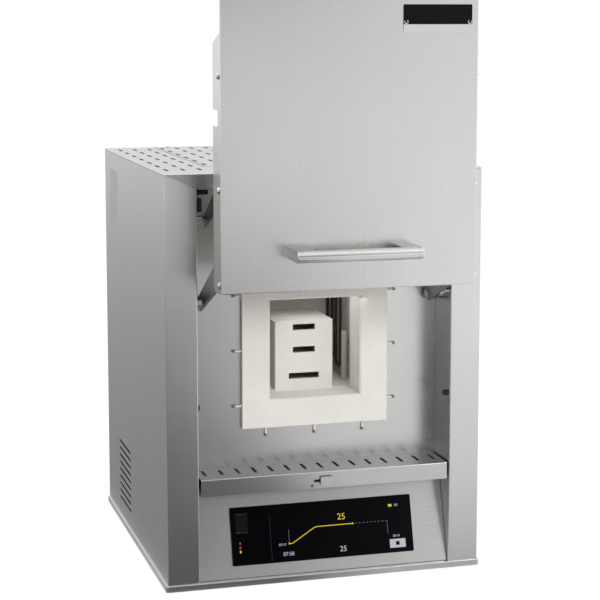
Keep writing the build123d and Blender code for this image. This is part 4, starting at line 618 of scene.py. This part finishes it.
bpy.ops.mesh.primitive_plane_add(size=24, location=(0, 0, -0.0005))
floor = bpy.context.object
floor.name = "studio_floor"
pale = bpy.data.materials.new("floor_pale")
pale.use_nodes = True
tree = pale.node_tree
shader = tree.nodes["Principled BSDF"]
shader.inputs["Base Color"].default_value = (0.9, 0.9, 0.9, 1)
shader.inputs["Roughness"].default_value = 0.9
shader.inputs["Specular IOR Level"].default_value = 0.0
glow = tree.nodes.new("ShaderNodeEmission")
glow.inputs["Strength"].default_value = 1.15
share = tree.nodes.new("ShaderNodeMath")
share.operation = "MULTIPLY"
share.inputs[1].default_value = 0.8
mixed = tree.nodes.new("ShaderNodeMixShader")
tree.links.new(seen_rays(tree), share.inputs[0])
tree.links.new(share.outputs["Value"], mixed.inputs["Fac"])
tree.links.new(shader.outputs["BSDF"], mixed.inputs[1])
tree.links.new(glow.outputs["Emission"], mixed.inputs[2])
tree.links.new(mixed.outputs["Shader"], tree.nodes["Material Output"].inputs["Surface"])
floor.data.materials.append(pale)

# Studio cards: grey cards that only mirrors see. They darken what the steel mirrors at
# the front left and behind the left side, as the room does in the photograph.


def card(name, location, rotation, scale, x_weight, y_weight, start, end, dark, light):
    """A grey card whose shade runs from dark to light along one way of the floor."""
    bpy.ops.mesh.primitive_plane_add(size=1, location=location, rotation=rotation)
    piece = bpy.context.object
    piece.name = name
    piece.scale = scale
    bpy.ops.object.transform_apply(location=True, rotation=True, scale=True)
    material = bpy.data.materials.new(name + "_shade")
    material.use_nodes = True
    tree = material.node_tree
    tree.nodes.remove(tree.nodes["Principled BSDF"])
    glow = tree.nodes.new("ShaderNodeEmission")
    surface = tree.nodes.new("ShaderNodeNewGeometry")
    along = tree.nodes.new("ShaderNodeVectorMath")
    along.operation = "DOT_PRODUCT"
    along.inputs[1].default_value = (x_weight, y_weight, 0)
    shade = tree.nodes.new("ShaderNodeMapRange")
    shade.inputs["From Min"].default_value = start
    shade.inputs["From Max"].default_value = end
    shade.inputs["To Min"].default_value = dark
    shade.inputs["To Max"].default_value = light
    tree.links.new(surface.outputs["Position"], along.inputs[0])
    tree.links.new(along.outputs["Value"], shade.inputs["Value"])
    tree.links.new(shade.outputs["Result"], glow.inputs["Strength"])
    tree.links.new(glow.outputs["Emission"], tree.nodes["Material Output"].inputs["Surface"])
    piece.data.materials.append(material)
    piece.visible_camera = False
    piece.visible_diffuse = False
    piece.visible_shadow = False
    piece.visible_transmission = False


card(
    "card_floor_front", (0.0, -1.6, 0.0005), (0, 0, 0), (6.0, 2.9, 1),
    1.0, 0.232, -0.09, 0.22, 0.1, 1.18)
card(
    "card_floor_side", (-2.6, 3.85, 0.0005), (0, 0, 0), (4.8, 8.3, 1),
    0.0, 1.0, 0.2, 5.0, 0.26, 0.62)
card(
    "card_floor_near", (1.6, -0.725, 0.001), (0, 0, 0), (3.0, 1.15, 1),
    0.0, -1.0, 0.1, 0.6, 0.48, 0.86)
card(
    "card_front", (-0.3, -4.9, 2.5), (math.radians(90), 0, 0), (5.2, 3.4, 1),
    1.0, 0.0, 1.15, 1.9, 0.1, 0.95)

# Studio light: a key from the right, a softbox from the front that reaches into the
# chamber, a soft one overhead, a faint one under the chamber's roof, and a pale world.
for name, location, target, size, power, mirrored in (
        ("key_light", (1.9, -1.6, 2.2), (0, 0, 0.3), 1.3, 26.0, True),
        ("front_light", (0.1, -2.3, 1.2), (0, 0, 0.3), 0.8, 25.0, False),
        ("top_light", (-0.3, 0.3, 2.4), (0, 0, 0.3), 1.6, 6.0, True),
        ("chamber_light", (0.015, -0.06, 0.333), (0.016, -0.06, 0.2), 0.1, 0.03, False)):
    aim = Vector(target) - Vector(location)
    bpy.ops.object.light_add(
        type="AREA", location=location, rotation=aim.to_track_quat("-Z", "Y").to_euler())
    lamp = bpy.context.object
    lamp.name = name
    lamp.data.size = size
    lamp.data.energy = power
    lamp.visible_glossy = mirrored
    lamp.visible_camera = False

world = bpy.data.worlds.new("studio_world")
bpy.context.scene.world = world
world.use_nodes = True
tree = world.node_tree
background = tree.nodes["Background"]
strength = tree.nodes.new("ShaderNodeMapRange")
strength.inputs["To Min"].default_value = 0.5
strength.inputs["To Max"].default_value = 1.0
background.inputs["Color"].default_value = (1, 1, 1, 1)
tree.links.new(seen_rays(tree), strength.inputs["Value"])
tree.links.new(strength.outputs["Result"], background.inputs["Strength"])

# Camera: at the photograph's place, 7.5 degrees down and a little to the right, with a
# small shift that keeps the whole base in the frame.
look_down = 7.457
look_right = 15.885
bpy.ops.object.camera_add(
    location=(-0.5815, -2.0686, 0.6757),
    rotation=(math.radians(90 - look_down), 0, math.radians(-look_right)))
camera = bpy.context.object
camera.name = "photo_camera"
camera.data.sensor_width = 36
camera.data.lens = 104.56
camera.data.shift_y = -0.10
bpy.context.scene.camera = camera
bpy.context.scene.view_settings.view_transform = "Standard"
